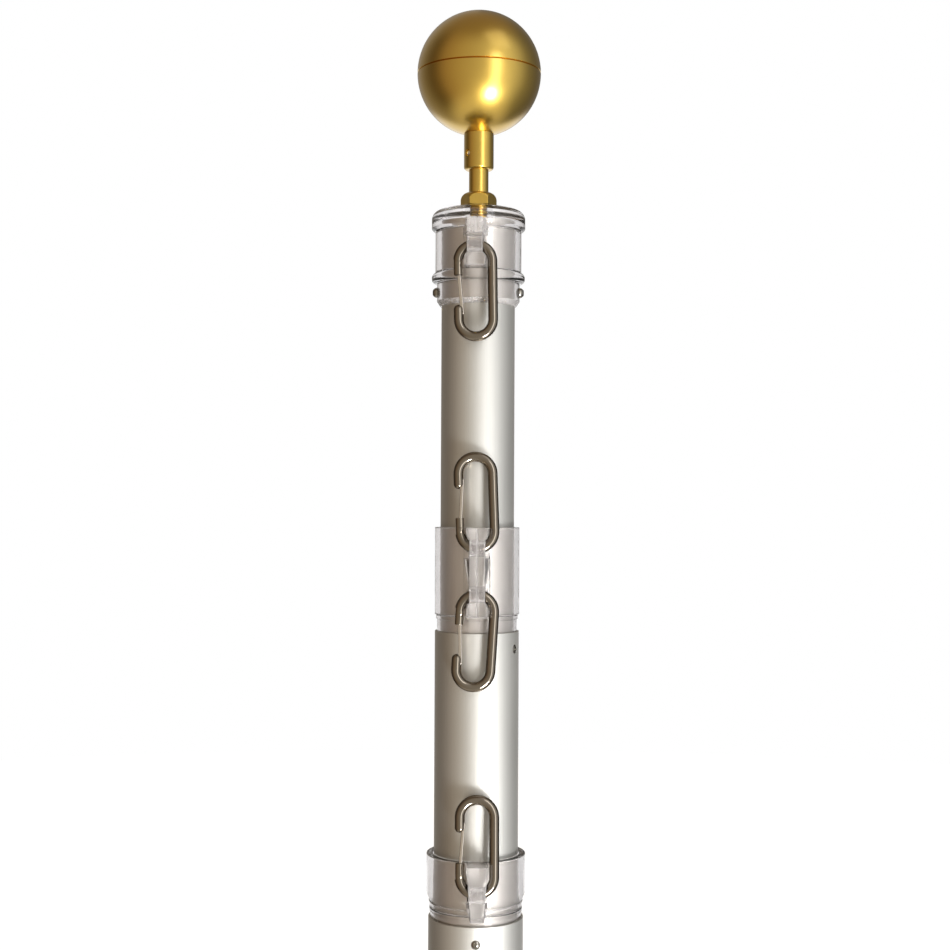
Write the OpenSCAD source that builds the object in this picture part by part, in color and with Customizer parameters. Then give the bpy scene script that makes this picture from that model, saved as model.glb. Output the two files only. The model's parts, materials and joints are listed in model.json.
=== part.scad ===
// Telescoping flagpole: four nested aluminium tubes, stowed, with clear flag rings and snap clips.
// Millimetres, +Z up, origin in the middle of the foot, the clips face -Y.

/* [Tubes] */
// Outside diameter of the top tube, the innermost one
top_od = 44.45; // [38:0.05:54]
// Wall of every tube
tube_wall = 1.6; // [1.3:0.05:2]
// Space between one tube and the tube round it
tube_gap = 1.575; // [1.3:0.025:2]
// Length of the base tube
base_len = 1200; // [900:50:1500]
// Bare tube that shows between one section's fittings and the next when stowed
bare_len = 133.5; // [105:0.5:165]

/* [Foot] */
// Thickness of the plug in the foot of the base tube
plug_h = 12; // [8:1:20]

/* [Guides and bushings] */
// Length of the guide round the lower end of each inner tube
guide_len = 40; // [25:1:60]
// Depth of a bushing's sleeve inside its tube
sleeve_depth = 26; // [20:1:40]
// Height of a bushing's neck above the tube end
neck_h = 7.3; // [5:0.1:10]
// Height of the short neck under the lower ring
short_neck_h = 3.3; // [2:0.1:5]
// Thickness of a bushing's lip
lip_h = 2.4; // [1.5:0.1:4]
// Step from a tube's outside in to the bushing's lip
lip_inset = 0.6; // [0.2:0.1:0.9]
// Step from a tube's outside in to the bushing's neck
neck_inset = 1.2; // [1:0.1:1.4]

/* [Flag rings] */
// Height of the top ring
top_ring_h = 24.9; // [22:0.1:32]
// Wall of the top ring
top_ring_wall = 3.4; // [2.6:0.1:4.4]
// Height of the middle ring
middle_ring_h = 52.4; // [46:0.1:64]
// Wall of the middle ring
middle_ring_wall = 3; // [2.4:0.1:4]
// Height of the lower ring
lower_ring_h = 32; // [28:0.1:40]
// Wall of the lower ring
lower_ring_wall = 4; // [3.2:0.1:5]
// Height of the bevel round the foot of the lower ring
ring_bevel_h = 5; // [3:0.1:7]
// Width of the bevel round the foot of the lower ring
ring_bevel_w = 2; // [1:0.1:2.6]
// Turn of the top ring on the pole, in degrees
top_ring_turn = -3.5; // [-20:0.5:20]
// Turn of the lower ring on the pole, in degrees
lower_ring_turn = 1; // [-20:0.5:20]

/* [Ring ears] */
// Width of an ear at its front
ear_w = 9.3; // [7:0.1:10]
// Width of an ear's shoulders where they meet the ring
shoulder_w = 15; // [11:0.5:18]
// Play of a clip's wire in the hole that it hangs in
hole_play = 3.8; // [3.6:0.1:5.8]
// Plastic between the ring and the hole
ear_web = 0.6; // [0.4:0.1:2]
// Plastic in front of the hole
ear_front = 1.6; // [1.2:0.1:3]
// Half length of a hole before its mouths start to widen
mouth_out = 4.2; // [3:0.1:4.6]
// Least widening of a hole's mouths
mouth_h = 1.5; // [0.5:0.1:2]
// Depth of the upper holes below the tops of the top and middle rings
high_hole_in = 12; // [10:0.1:14]
// Height of the middle ring's lower hole above its foot
low_hole_in = 13.5; // [10:0.1:15]
// Height of the lower ring's hole above its foot
lower_hole_in = 15; // [12:0.1:18]
// Plastic between a hole and the ear's shoulders
shoulder_gap = 1.5; // [1:0.1:3]
// How far the shoulders stand out from the ring
shoulder_out = 5; // [3:0.1:5.4]
// Rise of the top ring's ear in front of the cap
ear_rise = 3.5; // [0:0.1:5]
// Space on each side between a clip and the wide top of the lower ring's ear
ear_side_gap = 1; // [0.9:0.1:2]
// Width of the lower ring's ear at its foot
narrow_ear_w = 7.8; // [6:0.1:9]

/* [Clips] */
// Length of a clip
clip_len = 60; // [56:0.5:75]
// Width of a clip
clip_w = 26; // [25:0.5:30]
// Diameter of a clip's wire
clip_wire = 5.8; // [4.8:0.1:6]
// Length of the straight stub that carries the gate
hinge_stub = 8; // [6:0.5:9]
// Length of the straight stub at the nose
nose_stub = 8.7; // [6:0.1:9]
// Distance from the stub's root down to the rivet
rivet_in = 1; // [0.5:0.1:2]
// Width of a gate seen from the front
gate_w = 2; // [1.6:0.1:2.4]
// Thickness of a gate
gate_t = 2.4; // [2:0.1:2.6]
// Diameter of the eye at the rivet
gate_eye_d = 4.4; // [4:0.1:5]
// Overlap of a gate's tip with the nose
gate_lap = 5; // [3:0.1:6]
// How far a gate's tip lies inside the wire's middle line
gate_inset = 2.2; // [1.8:0.1:2.6]
// Diameter of a gate's rivet
rivet_d = 2; // [1.6:0.1:2.2]
// Diameter of a rivet's heads
rivet_head_d = 3.2; // [2.8:0.1:3.8]
// Lean of a raised clip towards the pole, in degrees
clip_lean = 5.5; // [3:0.5:7]
// Rise of a rivet's heads above the wire
rivet_rise = 0.4; // [0.2:0.1:0.8]
// Sideways tilt of the top clip, in degrees
clip_1_tilt = -1; // [-4:0.1:4]
// Sideways tilt of the middle ring's raised clip, in degrees
clip_2_tilt = -2; // [-4:0.1:4]
// Sideways tilt of the middle ring's hanging clip, in degrees
clip_3_tilt = 3.4; // [-4:0.1:4]
// Sideways tilt of the lower ring's clip, in degrees
clip_4_tilt = 0; // [-4:0.1:4]

/* [Top collar] */
// Step from the top tube's outside out to the collar's flange
flange_out = 5.925; // [4:0.025:7]
// Height of the collar's flange
flange_h = 6; // [4:0.1:8]
// Radius of the flange's rounded edges
flange_round = 2.5; // [1:0.1:2.9]
// Wall of the collar's body
collar_wall = 2.775; // [2.5:0.025:3.5]
// Height of the collar's body
collar_h = 10.9; // [9:0.1:14]
// Height of the bevel under the collar
collar_bevel_h = 3; // [2:0.1:5]
// Width of the bevel under the collar
collar_bevel_w = 2; // [1:0.1:2.4]

/* [Cap] */
// Step from the top tube's outside out to the cap's rim
cap_out = 6.075; // [4.5:0.025:7]
// Height of the cap
cap_h = 15.8; // [14:0.1:20]
// Height of the cap's skirt round the tube end
skirt_h = 5; // [3:0.5:7]
// Radius of the cap's rounded shoulder
cap_round = 5.5; // [3:0.1:6]
// Slope of the cap's top, in degrees
cap_slope = 14; // [8:0.5:18]
// Bevel under the cap's rim
cap_edge = 1.5; // [0.5:0.1:2.5]
// Diameter of the flat on top of the cap
cap_flat_d = 21; // [20:0.5:26]
// Depth of the cap's plug inside the tube
cap_plug_depth = 14; // [10:1:20]
// Wall of the cap's plug
cap_plug_wall = 2.4; // [1.6:0.1:3.4]
// Thickness of the cap over its hollow
cap_roof = 6; // [4:0.5:7]
// Diameter of the boss that takes the finial's shank
cap_boss_d = 20; // [17:0.5:26]

/* [Finial] */
// Diameter of the ball
ball_d = 75; // [60:1:92]
// Wall of the ball's two shells
ball_wall = 1.5; // [1:0.1:2.5]
// Height of the inner lip that joins the shells
ball_lip_h = 5; // [3:0.5:8]
// Thickness of the inner lip
ball_lip_t = 1.6; // [1:0.1:2.4]
// Diameter of the finial's collar
neck_d = 18; // [16:0.5:22]
// Height of the finial's collar below the ball
finial_neck_h = 22.5; // [18:0.5:28]
// Radius of the rounded foot of the finial's collar
neck_round = 2; // [1:0.1:2.6]
// Diameter of the collar's spigot inside the ball
spigot_d = 14.2; // [13.8:0.1:15.6]
// Height of the collar's spigot inside the ball
spigot_h = 5; // [3:0.5:8]
// Diameter of the finial's stem
stem_d = 11.8; // [10:0.1:13]
// Stem that shows between the collar and the hexagon
stem_h = 13.7; // [10:0.1:18]
// Hexagon across its flats
hex_af = 19; // [16:0.5:22]
// Height of the hexagon
hex_h = 8.1; // [6:0.1:11]
// Radius of the hexagon's rounded top
hex_round = 5; // [2:0.1:5.9]
// Diameter of the shank in the cap
shank_d = 10.8; // [9:0.1:12]
// Length of the shank
shank_len = 22; // [18:1:24]
// Diameter of the set screw
set_screw_d = 4; // [3:0.1:5]
// Hexagon socket of the set screw across its corners
socket_d = 2.2; // [1.4:0.1:2.4]
// Depth of the set screw below the collar's surface
set_screw_in = 0.4; // [0.2:0.1:0.8]
// Height of the set screw above the foot of the collar
set_screw_up = 9.7; // [8:0.1:12]
// Place of the set screw round the collar, in degrees from the front
set_screw_turn = -51; // [-90:1:90]

/* [Screws] */
// Diameter of a bushing screw's head
screw_head_d = 5.4; // [4.4:0.1:6.4]
// Diameter of a bushing screw's shank
screw_d = 3.2; // [2.6:0.1:3.8]
// Rise of a bushing screw's domed head above the tube
screw_rise = 1; // [0.6:0.1:1.4]
// Depth of the seat of a domed head in the tube wall
screw_sink = 0.4; // [0.3:0.1:0.6]
// Depth of the bushing screws below the tube end
screw_drop = 10; // [8:0.5:14]
// Place of the screws round the upper tube, in degrees from the front
upper_screw_turn = 63.5; // [-90:0.5:90]
// Place of the screws round the lower tube, in degrees from the front
lower_screw_turn = 0; // [-90:0.5:90]
// Place of the screws round the base tube, in degrees from the front
base_screw_turn = 90; // [-90:0.5:90]
// Diameter of a collar screw's head
collar_head_d = 6.3; // [5:0.1:7]
// Rise of a collar screw's domed head
collar_head_h = 3.2; // [2:0.1:4]

/* [Fits] */
// Clearance round a piece that slides in another
slide_gap = 0.1; // [0.06:0.01:0.1]
// Clearance round a piece that is pressed or glued into another
seat_gap = 0.05; // [0.02:0.01:0.08]
// Clearance between a turning ring and its neighbours
ring_gap = 0.3; // [0.2:0.05:0.5]
// Clearance between a turning ring and the tube inside it
bore_gap = 0.4; // [0.3:0.05:0.6]
// Clearance round a gate's rivet
rivet_gap = 0.06; // [0.03:0.01:0.1]
// Clearance on each side of a gate
gate_gap = 0.3; // [0.2:0.05:0.4]
// Clearance between a hanging clip and what it hangs past
clip_gap = 1.5; // [1:0.1:3]

/* [Hidden] */

// Steps in a large circle, in a small one, and the overrun of a cut
large = 96;
small = 32;
over = 1;

// Radii of the four tubes, from the top one down
tube_step = tube_wall + tube_gap;
top_r = top_od / 2;
upper_r = top_r + tube_step;
lower_r = upper_r + tube_step;
base_r = lower_r + tube_step;

// What fits round the top tube
collar_d = top_od + 2 * collar_wall;
flange_d = top_od + 2 * flange_out;
cap_d = top_od + 2 * cap_out;

// Levels from the foot up
tube_foot = plug_h + ring_gap;
bushing_h = neck_h + lip_h;
lower_top = base_len + bushing_h + bare_len;
lower_ring_z = lower_top + short_neck_h + lip_h + ring_gap;
upper_top = lower_ring_z + lower_ring_h + bare_len;
middle_ring_z = upper_top + bushing_h + ring_gap;
collar_z = middle_ring_z + middle_ring_h + bare_len;
collar_top = collar_z + collar_bevel_h + collar_h + flange_h;
top_ring_z = collar_top + ring_gap;
cap_z = top_ring_z + top_ring_h + ring_gap;
top_top = cap_z + skirt_h;
hex_z = cap_z + cap_h;
stem_z = hex_z + hex_h;
neck_z = stem_z + stem_h;
neck_top = neck_z + finial_neck_h;

ball_r = ball_d / 2;
ball_z = neck_top + sqrt(pow(ball_r, 2) - pow(neck_d / 2, 2));
ball_inner_r = ball_r - ball_wall;

// A clip's middle line: two half circles and two legs
wire_r = clip_wire / 2;
clip_arc = (clip_w - clip_wire) / 2;
clip_leg = clip_len - clip_w;
gate_drop = clip_leg - nose_stub + gate_lap - rivet_in;
gate_slant = asin(gate_inset / gate_drop);
gate_slot = gate_t + 2 * gate_gap;

// Holes in the ears, and the ear that fills the clip in it
hole_r = (clip_wire + hole_play) / 2;
wide_ear_w = clip_w - 2 * clip_wire - 2 * ear_side_gap;
wide_ear_taper = (wide_ear_w - narrow_ear_w) / 2 / lower_ring_h;
wide_ear_half = narrow_ear_w / 2 + wide_ear_taper * (lower_hole_in + hole_r + 2 * mouth_h);
wide_ear_flare = max(mouth_h, wide_ear_half - mouth_out);
top_ring_r = top_r + bore_gap + top_ring_wall;
middle_ring_r = top_r + bore_gap + middle_ring_wall;
lower_ring_r = upper_r + bore_gap + lower_ring_wall;
function hole_out(ring_r) = ring_r + ear_web + hole_r;
function past(r) = sqrt(pow(r + wire_r + clip_gap, 2) - pow(clip_arc, 2));
top_hole_out = max(hole_out(top_ring_r), past(flange_d / 2));
middle_hole_out = max(hole_out(middle_ring_r), past(upper_r + screw_rise));
lower_hole_out = hole_out(lower_ring_r);
top_hole_z = top_ring_z + top_ring_h - high_hole_in;
middle_high_z = middle_ring_z + middle_ring_h - high_hole_in;
middle_low_z = middle_ring_z + low_hole_in;
lower_hole_z = lower_ring_z + lower_hole_in;

silver = "#b9b8b2";
clear = [0.85, 0.86, 0.88, 0.45];
gold = "#b5923a";
steel = "#8f8a82";

// ---- Shared shapes ----

module pipe(r, wall, foot, top) {
    difference() {
        translate([0, 0, foot]) cylinder(r = r, h = top - foot, $fn = large);
        translate([0, 0, foot - over]) cylinder(r = r - wall, h = top - foot + 2 * over, $fn = large);
    }
}

// A rod along -Y turned round the pole, from one radius out to another
module spoke(d, from_r, to_r, z, turn, sides = small) {
    rotate([0, 0, turn]) translate([0, -from_r, z]) rotate([90, 0, 0])
        cylinder(d = d, h = to_r - from_r, $fn = sides);
}

// A domed head on a shank, standing out from the pole
module screw(head, rise, shank, from_r, seat_r, z, turn) {
    dome_r = (pow(head / 2, 2) + pow(rise, 2)) / (2 * rise);
    spoke(shank, from_r, seat_r + rise / 2, z, turn);
    intersection() {
        spoke(head, seat_r, seat_r + rise, z, turn);
        rotate([0, 0, turn]) translate([0, dome_r - seat_r - rise, z]) sphere(r = dome_r, $fn = large);
    }
}

// ---- Tubes, their guides and bushings ----

module section_tube(r, foot, top, turn, seat_r) {
    color(silver) difference() {
        pipe(r, tube_wall, foot, top);
        for (side = [0, 180]) {
            spoke(screw_d + 2 * seat_gap, 0, r + over, top - screw_drop, turn + side);
            spoke(screw_head_d + 2 * seat_gap, seat_r, r + over, top - screw_drop, turn + side);
        }
    }
}

module top_tube() {
    color(silver) difference() {
        pipe(top_r, tube_wall, tube_foot, top_top);
        for (side = [90, 270])
            spoke(screw_d + 2 * seat_gap, 0, top_r + over, collar_screw_z, side);
    }
}

module upper_tube() {
    section_tube(upper_r, tube_foot, upper_top, upper_screw_turn, upper_r - screw_sink);
}

module lower_tube() {
    section_tube(lower_r, tube_foot, lower_top, lower_screw_turn, lower_r - screw_sink);
}

module base_tube() {
    section_tube(base_r, 0, base_len, base_screw_turn, base_r - base_screw_sink);
}

module base_plug() {
    color("#3a3a3c") cylinder(r = base_r - tube_wall - seat_gap, h = plug_h, $fn = large);
}

module guide(r) {
    guide_wall = tube_gap - slide_gap - seat_gap;
    color("#e8e6e0") pipe(r + tube_gap - slide_gap, guide_wall, tube_foot, tube_foot + guide_len);
}

module top_guide() {
    guide(top_r);
}

module upper_guide() {
    guide(upper_r);
}

module lower_guide() {
    guide(lower_r);
}

// A bushing in the mouth of the tube of radius r, round the next tube in
module bushing(r, top, neck, turn) {
    bore = r - tube_step + slide_gap;
    color(clear) difference() {
        union() {
            translate([0, 0, top - sleeve_depth])
                cylinder(r = r - tube_wall - seat_gap, h = sleeve_depth + neck, $fn = large);
            translate([0, 0, top]) cylinder(r = r - neck_inset, h = neck, $fn = large);
            translate([0, 0, top + neck]) cylinder(r = r - lip_inset, h = lip_h, $fn = large);
        }
        translate([0, 0, top - sleeve_depth - over])
            cylinder(r = bore, h = sleeve_depth + neck + lip_h + 2 * over, $fn = large);
        for (side = [0, 180])
            spoke(screw_d + 2 * seat_gap, 0, r, top - screw_drop, turn + side);
    }
}

module upper_bushing() {
    bushing(upper_r, upper_top, neck_h, upper_screw_turn);
}

module lower_bushing() {
    bushing(lower_r, lower_top, short_neck_h, lower_screw_turn);
}

module base_bushing() {
    bushing(base_r, base_len, neck_h, base_screw_turn);
}

// The two screws that hold a bushing in the tube of radius r
module bushing_screws(r, top, turn, sink) {
    bore = r - tube_step + slide_gap;
    color(steel) for (side = [0, 180])
        screw(screw_head_d, screw_rise, screw_d, bore + slide_gap, r - sink, top - screw_drop, turn + side);
}

module upper_screws() {
    bushing_screws(upper_r, upper_top, upper_screw_turn, screw_sink);
}

module lower_screws() {
    bushing_screws(lower_r, lower_top, lower_screw_turn, screw_sink);
}

// The base tube's screws are sunk, so that the tube passes through a ground sleeve
base_screw_sink = screw_rise + slide_gap;
module base_screws() {
    bushing_screws(base_r, base_len, base_screw_turn, base_screw_sink);
}

// ---- Flag rings ----

// A plain ear: a block that narrows from its top to its foot
module ear_block(out, foot, top, foot_w, top_w) {
    rotate([90, 0, 0]) linear_extrude(out)
        polygon([[-foot_w / 2, foot], [foot_w / 2, foot], [top_w / 2, top], [-top_w / 2, top]]);
}

// Shoulders that widen an ear where it meets the ring
module ear_shoulders(ring_r, foot, top) {
    root = shoulder_w / 2;
    tip = ear_w / 2;
    out = ring_r + shoulder_out;
    translate([0, 0, foot]) linear_extrude(top - foot)
        polygon([[-root, 0], [root, 0], [root, -ring_r], [tip, -out], [-tip, -out], [-root, -ring_r]]);
}

// A hole across an ear, whose mouths widen at 45 degrees as far as the ear is wide there
module ear_hole(out, z, flare = mouth_h) {
    for (side = [-90, 90]) translate([0, -out, z]) rotate([0, side, 0]) {
        cylinder(r = hole_r, h = shoulder_w, $fn = large);
        translate([0, 0, mouth_out]) cylinder(r1 = hole_r, r2 = hole_r + flare, h = flare, $fn = large);
    }
}

module ring_bore(r, foot, top) {
    translate([0, 0, foot - over]) cylinder(r = r + bore_gap, h = top - foot + 2 * over, $fn = large);
}

module top_ring() {
    ring_top = top_ring_z + top_ring_h;
    ear_out = top_hole_out + hole_r + ear_front;
    color(clear) rotate([0, 0, top_ring_turn]) difference() {
        union() {
            translate([0, 0, top_ring_z]) cylinder(r = top_ring_r, h = top_ring_h, $fn = large);
            ear_block(ear_out, top_ring_z, ring_top + ear_rise, ear_w, ear_w);
            ear_shoulders(top_ring_r, top_hole_z + hole_r + shoulder_gap, ring_top + ear_rise);
        }
        ring_bore(top_r, top_ring_z, ring_top + ear_rise);
        ear_hole(top_hole_out, top_hole_z);
        translate([0, 0, ring_top]) cylinder(r = cap_d / 2 + ring_gap, h = ear_rise + over, $fn = large);
    }
}

module middle_ring() {
    ring_top = middle_ring_z + middle_ring_h;
    ear_out = middle_hole_out + hole_r + ear_front;
    neck = hole_r + shoulder_gap;
    color(clear) difference() {
        union() {
            translate([0, 0, middle_ring_z]) cylinder(r = middle_ring_r, h = middle_ring_h, $fn = large);
            ear_block(ear_out, middle_ring_z, ring_top, ear_w, ear_w);
            ear_shoulders(middle_ring_r, middle_low_z + neck, middle_high_z - neck);
        }
        ring_bore(top_r, middle_ring_z, ring_top);
        ear_hole(middle_hole_out, middle_low_z);
        ear_hole(middle_hole_out, middle_high_z);
    }
}

module lower_ring() {
    ring_top = lower_ring_z + lower_ring_h;
    ear_out = lower_hole_out + hole_r + ear_front;
    bevel_z = lower_ring_z + ring_bevel_h;
    color(clear) rotate([0, 0, lower_ring_turn]) difference() {
        union() {
            translate([0, 0, bevel_z]) cylinder(r = lower_ring_r, h = ring_top - bevel_z, $fn = large);
            translate([0, 0, lower_ring_z])
                cylinder(r1 = lower_ring_r - ring_bevel_w, r2 = lower_ring_r, h = ring_bevel_h, $fn = large);
            ear_block(ear_out, lower_ring_z, ring_top, narrow_ear_w, wide_ear_w);
        }
        ring_bore(upper_r, lower_ring_z, ring_top);
        ear_hole(lower_hole_out, lower_hole_z, wide_ear_flare);
    }
}

// ---- Clips ----

// Moves a clip, drawn hanging with its eye's middle at the origin, to its hole and lean
module hang(turn, out, z, tilt) {
    rotate([0, 0, turn]) translate([0, -out, z - clip_arc]) rotate([0, tilt, 0]) children();
}

module raise(turn, out, z, tilt) {
    rotate([0, 0, turn]) translate([0, -out, z]) rotate([-clip_lean, 0, 0])
        translate([0, 0, clip_arc]) rotate([0, tilt, 0]) mirror([0, 0, 1]) children();
}

module bend(z, flip) {
    translate([0, 0, z]) rotate([90, 0, 0]) rotate([0, 0, flip])
        rotate_extrude(angle = 180, $fn = large) translate([clip_arc, 0]) circle(r = wire_r, $fn = small);
}

module leg(x, low, high) {
    translate([x, 0, low]) cylinder(r = wire_r, h = high - low, $fn = small);
}

module across(d, x, z, length) {
    translate([x, 0, z]) rotate([90, 0, 0]) cylinder(d = d, h = length, center = true, $fn = small);
}

module hook() {
    nose_z = -clip_leg + nose_stub - wire_r;
    eye_top = gate_eye_d / 2 + gate_gap - rivet_in;
    slot_foot = -clip_leg + nose_stub - gate_lap - over;
    gate_x = -clip_arc - gate_inset * (nose_z + wire_r + rivet_in) / gate_drop;
    slot_side = gate_x - gate_w / 2 - gate_gap;
    color(steel) difference() {
        union() {
            bend(0, 0);
            bend(-clip_leg, 180);
            leg(clip_arc, -clip_leg, 0);
            leg(-clip_arc, -hinge_stub, 0);
            leg(-clip_arc, -clip_leg, nose_z);
            translate([-clip_arc, 0, nose_z]) sphere(r = wire_r, $fn = small);
        }
        across(rivet_d + 2 * seat_gap, -clip_arc, -rivet_in, clip_wire + 2 * over);
        translate([-clip_arc - wire_r - over, -gate_slot / 2, -hinge_stub - over])
            cube([clip_wire + 2 * over, gate_slot, eye_top + hinge_stub + over]);
        translate([slot_side, -gate_slot / 2, slot_foot])
            cube([clip_wire, gate_slot, nose_z + wire_r + over - slot_foot]);
    }
}

module rivet() {
    color(steel) {
        across(rivet_d, -clip_arc, -rivet_in, clip_wire + rivet_rise);
        for (side = [-1, 1]) translate([0, side * (wire_r + rivet_rise / 2), 0])
            across(rivet_head_d, -clip_arc, -rivet_in, rivet_rise);
    }
}

module gate() {
    color(steel) rotate([90, 0, 0]) linear_extrude(gate_t, center = true) difference() {
        union() {
            translate([-clip_arc, -rivet_in]) circle(d = gate_eye_d, $fn = small);
            translate([-clip_arc, -rivet_in]) rotate(gate_slant) translate([-gate_w / 2, -gate_drop])
                square([gate_w, gate_drop]);
            translate([gate_inset - clip_arc, -rivet_in - gate_drop]) circle(d = gate_w, $fn = small);
        }
        translate([-clip_arc, -rivet_in]) circle(d = rivet_d + 2 * rivet_gap, $fn = small);
    }
}

module clip_1() {
    hang(top_ring_turn, top_hole_out, top_hole_z, clip_1_tilt) children();
}

module clip_2() {
    raise(0, middle_hole_out, middle_high_z, clip_2_tilt) children();
}

module clip_3() {
    hang(0, middle_hole_out, middle_low_z, clip_3_tilt) children();
}

module clip_4() {
    raise(lower_ring_turn, lower_hole_out, lower_hole_z, clip_4_tilt) children();
}

// ---- Top collar ----

collar_screw_z = collar_z + collar_bevel_h + collar_h / 2;

module top_collar() {
    body_z = collar_z + collar_bevel_h;
    flange_z = body_z + collar_h;
    color(clear) difference() {
        union() {
            translate([0, 0, collar_z])
                cylinder(d1 = collar_d - 2 * collar_bevel_w, d2 = collar_d, h = collar_bevel_h, $fn = large);
            translate([0, 0, body_z]) cylinder(d = collar_d, h = collar_h, $fn = large);
            translate([0, 0, flange_z]) rotate_extrude($fn = large)
                round_edge(flange_d / 2, flange_h, flange_round);
        }
        translate([0, 0, collar_z - over])
            cylinder(r = top_r + seat_gap, h = collar_top - collar_z + 2 * over, $fn = large);
        for (side = [90, 270])
            spoke(screw_d + 2 * seat_gap, 0, collar_d, collar_screw_z, side);
        for (side = [90, 270])
            spoke(collar_head_d + 2 * seat_gap, collar_seat_r, collar_d, collar_screw_z, side);
    }
}

// Half outline of a disc with two rounded edges
module round_edge(r, h, round) {
    square([r - round, h]);
    translate([0, round]) square([r, h - 2 * round]);
    translate([r - round, round]) circle(r = round, $fn = small);
    translate([r - round, h - round]) circle(r = round, $fn = small);
}

collar_seat_r = sqrt(pow(collar_d / 2, 2) - pow(collar_head_d / 2, 2)) - seat_gap;
module collar_screws() {
    color(steel) for (side = [90, 270])
        screw(collar_head_d, collar_head_h, screw_d, top_r - tube_wall, collar_seat_r, collar_screw_z, side);
}

// ---- Cap ----

module top_cap() {
    plug_r = top_r - tube_wall - seat_gap;
    plug_foot = top_top - cap_plug_depth;
    cap_r = cap_d / 2;
    round_x = cap_r - cap_round;
    crown = [round_x + cap_round * sin(cap_slope), 0];
    crown_z = cap_h - (crown[0] - cap_flat_d / 2) * tan(cap_slope);
    round_z = crown_z - cap_round * cos(cap_slope);
    hollow_top = hex_z - cap_roof;
    color(clear) difference() {
        union() {
            translate([0, 0, cap_z]) rotate_extrude($fn = large) {
                polygon([[0, 0], [cap_r - cap_edge, 0], [cap_r, cap_edge], [cap_r, round_z], [round_x, round_z],
                    [crown[0], crown_z], [cap_flat_d / 2, cap_h], [0, cap_h]]);
                translate([round_x, round_z]) circle(r = cap_round, $fn = large);
            }
            translate([0, 0, plug_foot]) cylinder(r = plug_r, h = cap_plug_depth, $fn = large);
        }
        translate([0, 0, cap_z - over]) difference() {
            cylinder(r = top_r + seat_gap, h = skirt_h + over, $fn = large);
            cylinder(r = plug_r, h = skirt_h + over, $fn = large);
        }
        translate([0, 0, plug_foot - over]) difference() {
            cylinder(r = plug_r - cap_plug_wall, h = hollow_top - plug_foot + over, $fn = large);
            cylinder(d = cap_boss_d, h = hollow_top - plug_foot + over, $fn = large);
        }
        translate([0, 0, plug_foot - over])
            cylinder(d = shank_d + 2 * seat_gap, h = hex_z - plug_foot + 2 * over, $fn = large);
    }
}

// ---- Finial ----

module finial_spindle() {
    hex_r = hex_af / 2 / cos(30);
    color(gold) {
        translate([0, 0, hex_z - shank_len]) cylinder(d = shank_d, h = shank_len, $fn = large);
        intersection() {
            translate([0, 0, hex_z]) cylinder(r = hex_r, h = hex_h, $fn = 6);
            translate([0, 0, hex_z - hex_round]) rotate_extrude($fn = large)
                round_edge(hex_r, hex_h + hex_round, hex_round);
        }
        translate([0, 0, stem_z - over]) cylinder(d = stem_d, h = neck_top - stem_z + over, $fn = large);
    }
}

module finial_collar() {
    screw_z = neck_z + set_screw_up;
    color(gold) difference() {
        union() {
            translate([0, 0, neck_z]) rotate_extrude($fn = large)
                round_edge(neck_d / 2, finial_neck_h + neck_round, neck_round);
            translate([0, 0, neck_z + finial_neck_h - neck_round])
                cylinder(d = neck_d, h = 2 * neck_round, $fn = large);
        }
        translate([0, 0, ball_z]) sphere(r = ball_r + seat_gap, $fn = large);
        translate([0, 0, neck_z - over])
            cylinder(d = stem_d + 2 * seat_gap, h = finial_neck_h + 2 * neck_round + over, $fn = large);
        spoke(set_screw_d + 2 * seat_gap, 0, neck_d, screw_z, set_screw_turn);
    }
    color(gold) translate([0, 0, neck_top - 2 * neck_round]) difference() {
        cylinder(d = spigot_d, h = 2 * neck_round + spigot_h, $fn = large);
        translate([0, 0, -over])
            cylinder(d = stem_d + 2 * seat_gap, h = 2 * neck_round + spigot_h + 2 * over, $fn = large);
    }
}

module finial_set_screw() {
    screw_z = neck_z + set_screw_up;
    head_r = neck_d / 2 - set_screw_in;
    color(steel) difference() {
        spoke(set_screw_d, stem_d / 2 + seat_gap, head_r, screw_z, set_screw_turn);
        spoke(socket_d, head_r - socket_d / 2, head_r + over, screw_z, set_screw_turn, 6);
    }
}

module ball_shell(side) {
    intersection() {
        difference() {
            sphere(r = ball_r, $fn = large);
            sphere(r = ball_inner_r, $fn = large);
        }
        translate([-ball_d, -ball_d, side > 0 ? 0 : -2 * ball_d]) cube(2 * ball_d);
    }
}

module finial_ball_upper() {
    color(gold) translate([0, 0, ball_z]) ball_shell(1);
}

module finial_ball_lower() {
    lip_r = ball_inner_r - ball_lip_t;
    color(gold) translate([0, 0, ball_z]) difference() {
        union() {
            ball_shell(-1);
            intersection() {
                sphere(r = ball_inner_r + seat_gap, $fn = large);
                translate([0, 0, -ball_lip_h]) cylinder(r = ball_r, h = ball_lip_h, $fn = large);
            }
            intersection() {
                sphere(r = ball_inner_r - seat_gap, $fn = large);
                cylinder(r = ball_r, h = ball_lip_h, $fn = large);
            }
        }
        translate([0, 0, -ball_lip_h - over]) cylinder(r = lip_r, h = 2 * ball_lip_h + 2 * over, $fn = large);
        translate([0, 0, -ball_d]) cylinder(d = spigot_d + 2 * seat_gap, h = ball_d, $fn = large);
    }
}

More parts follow.
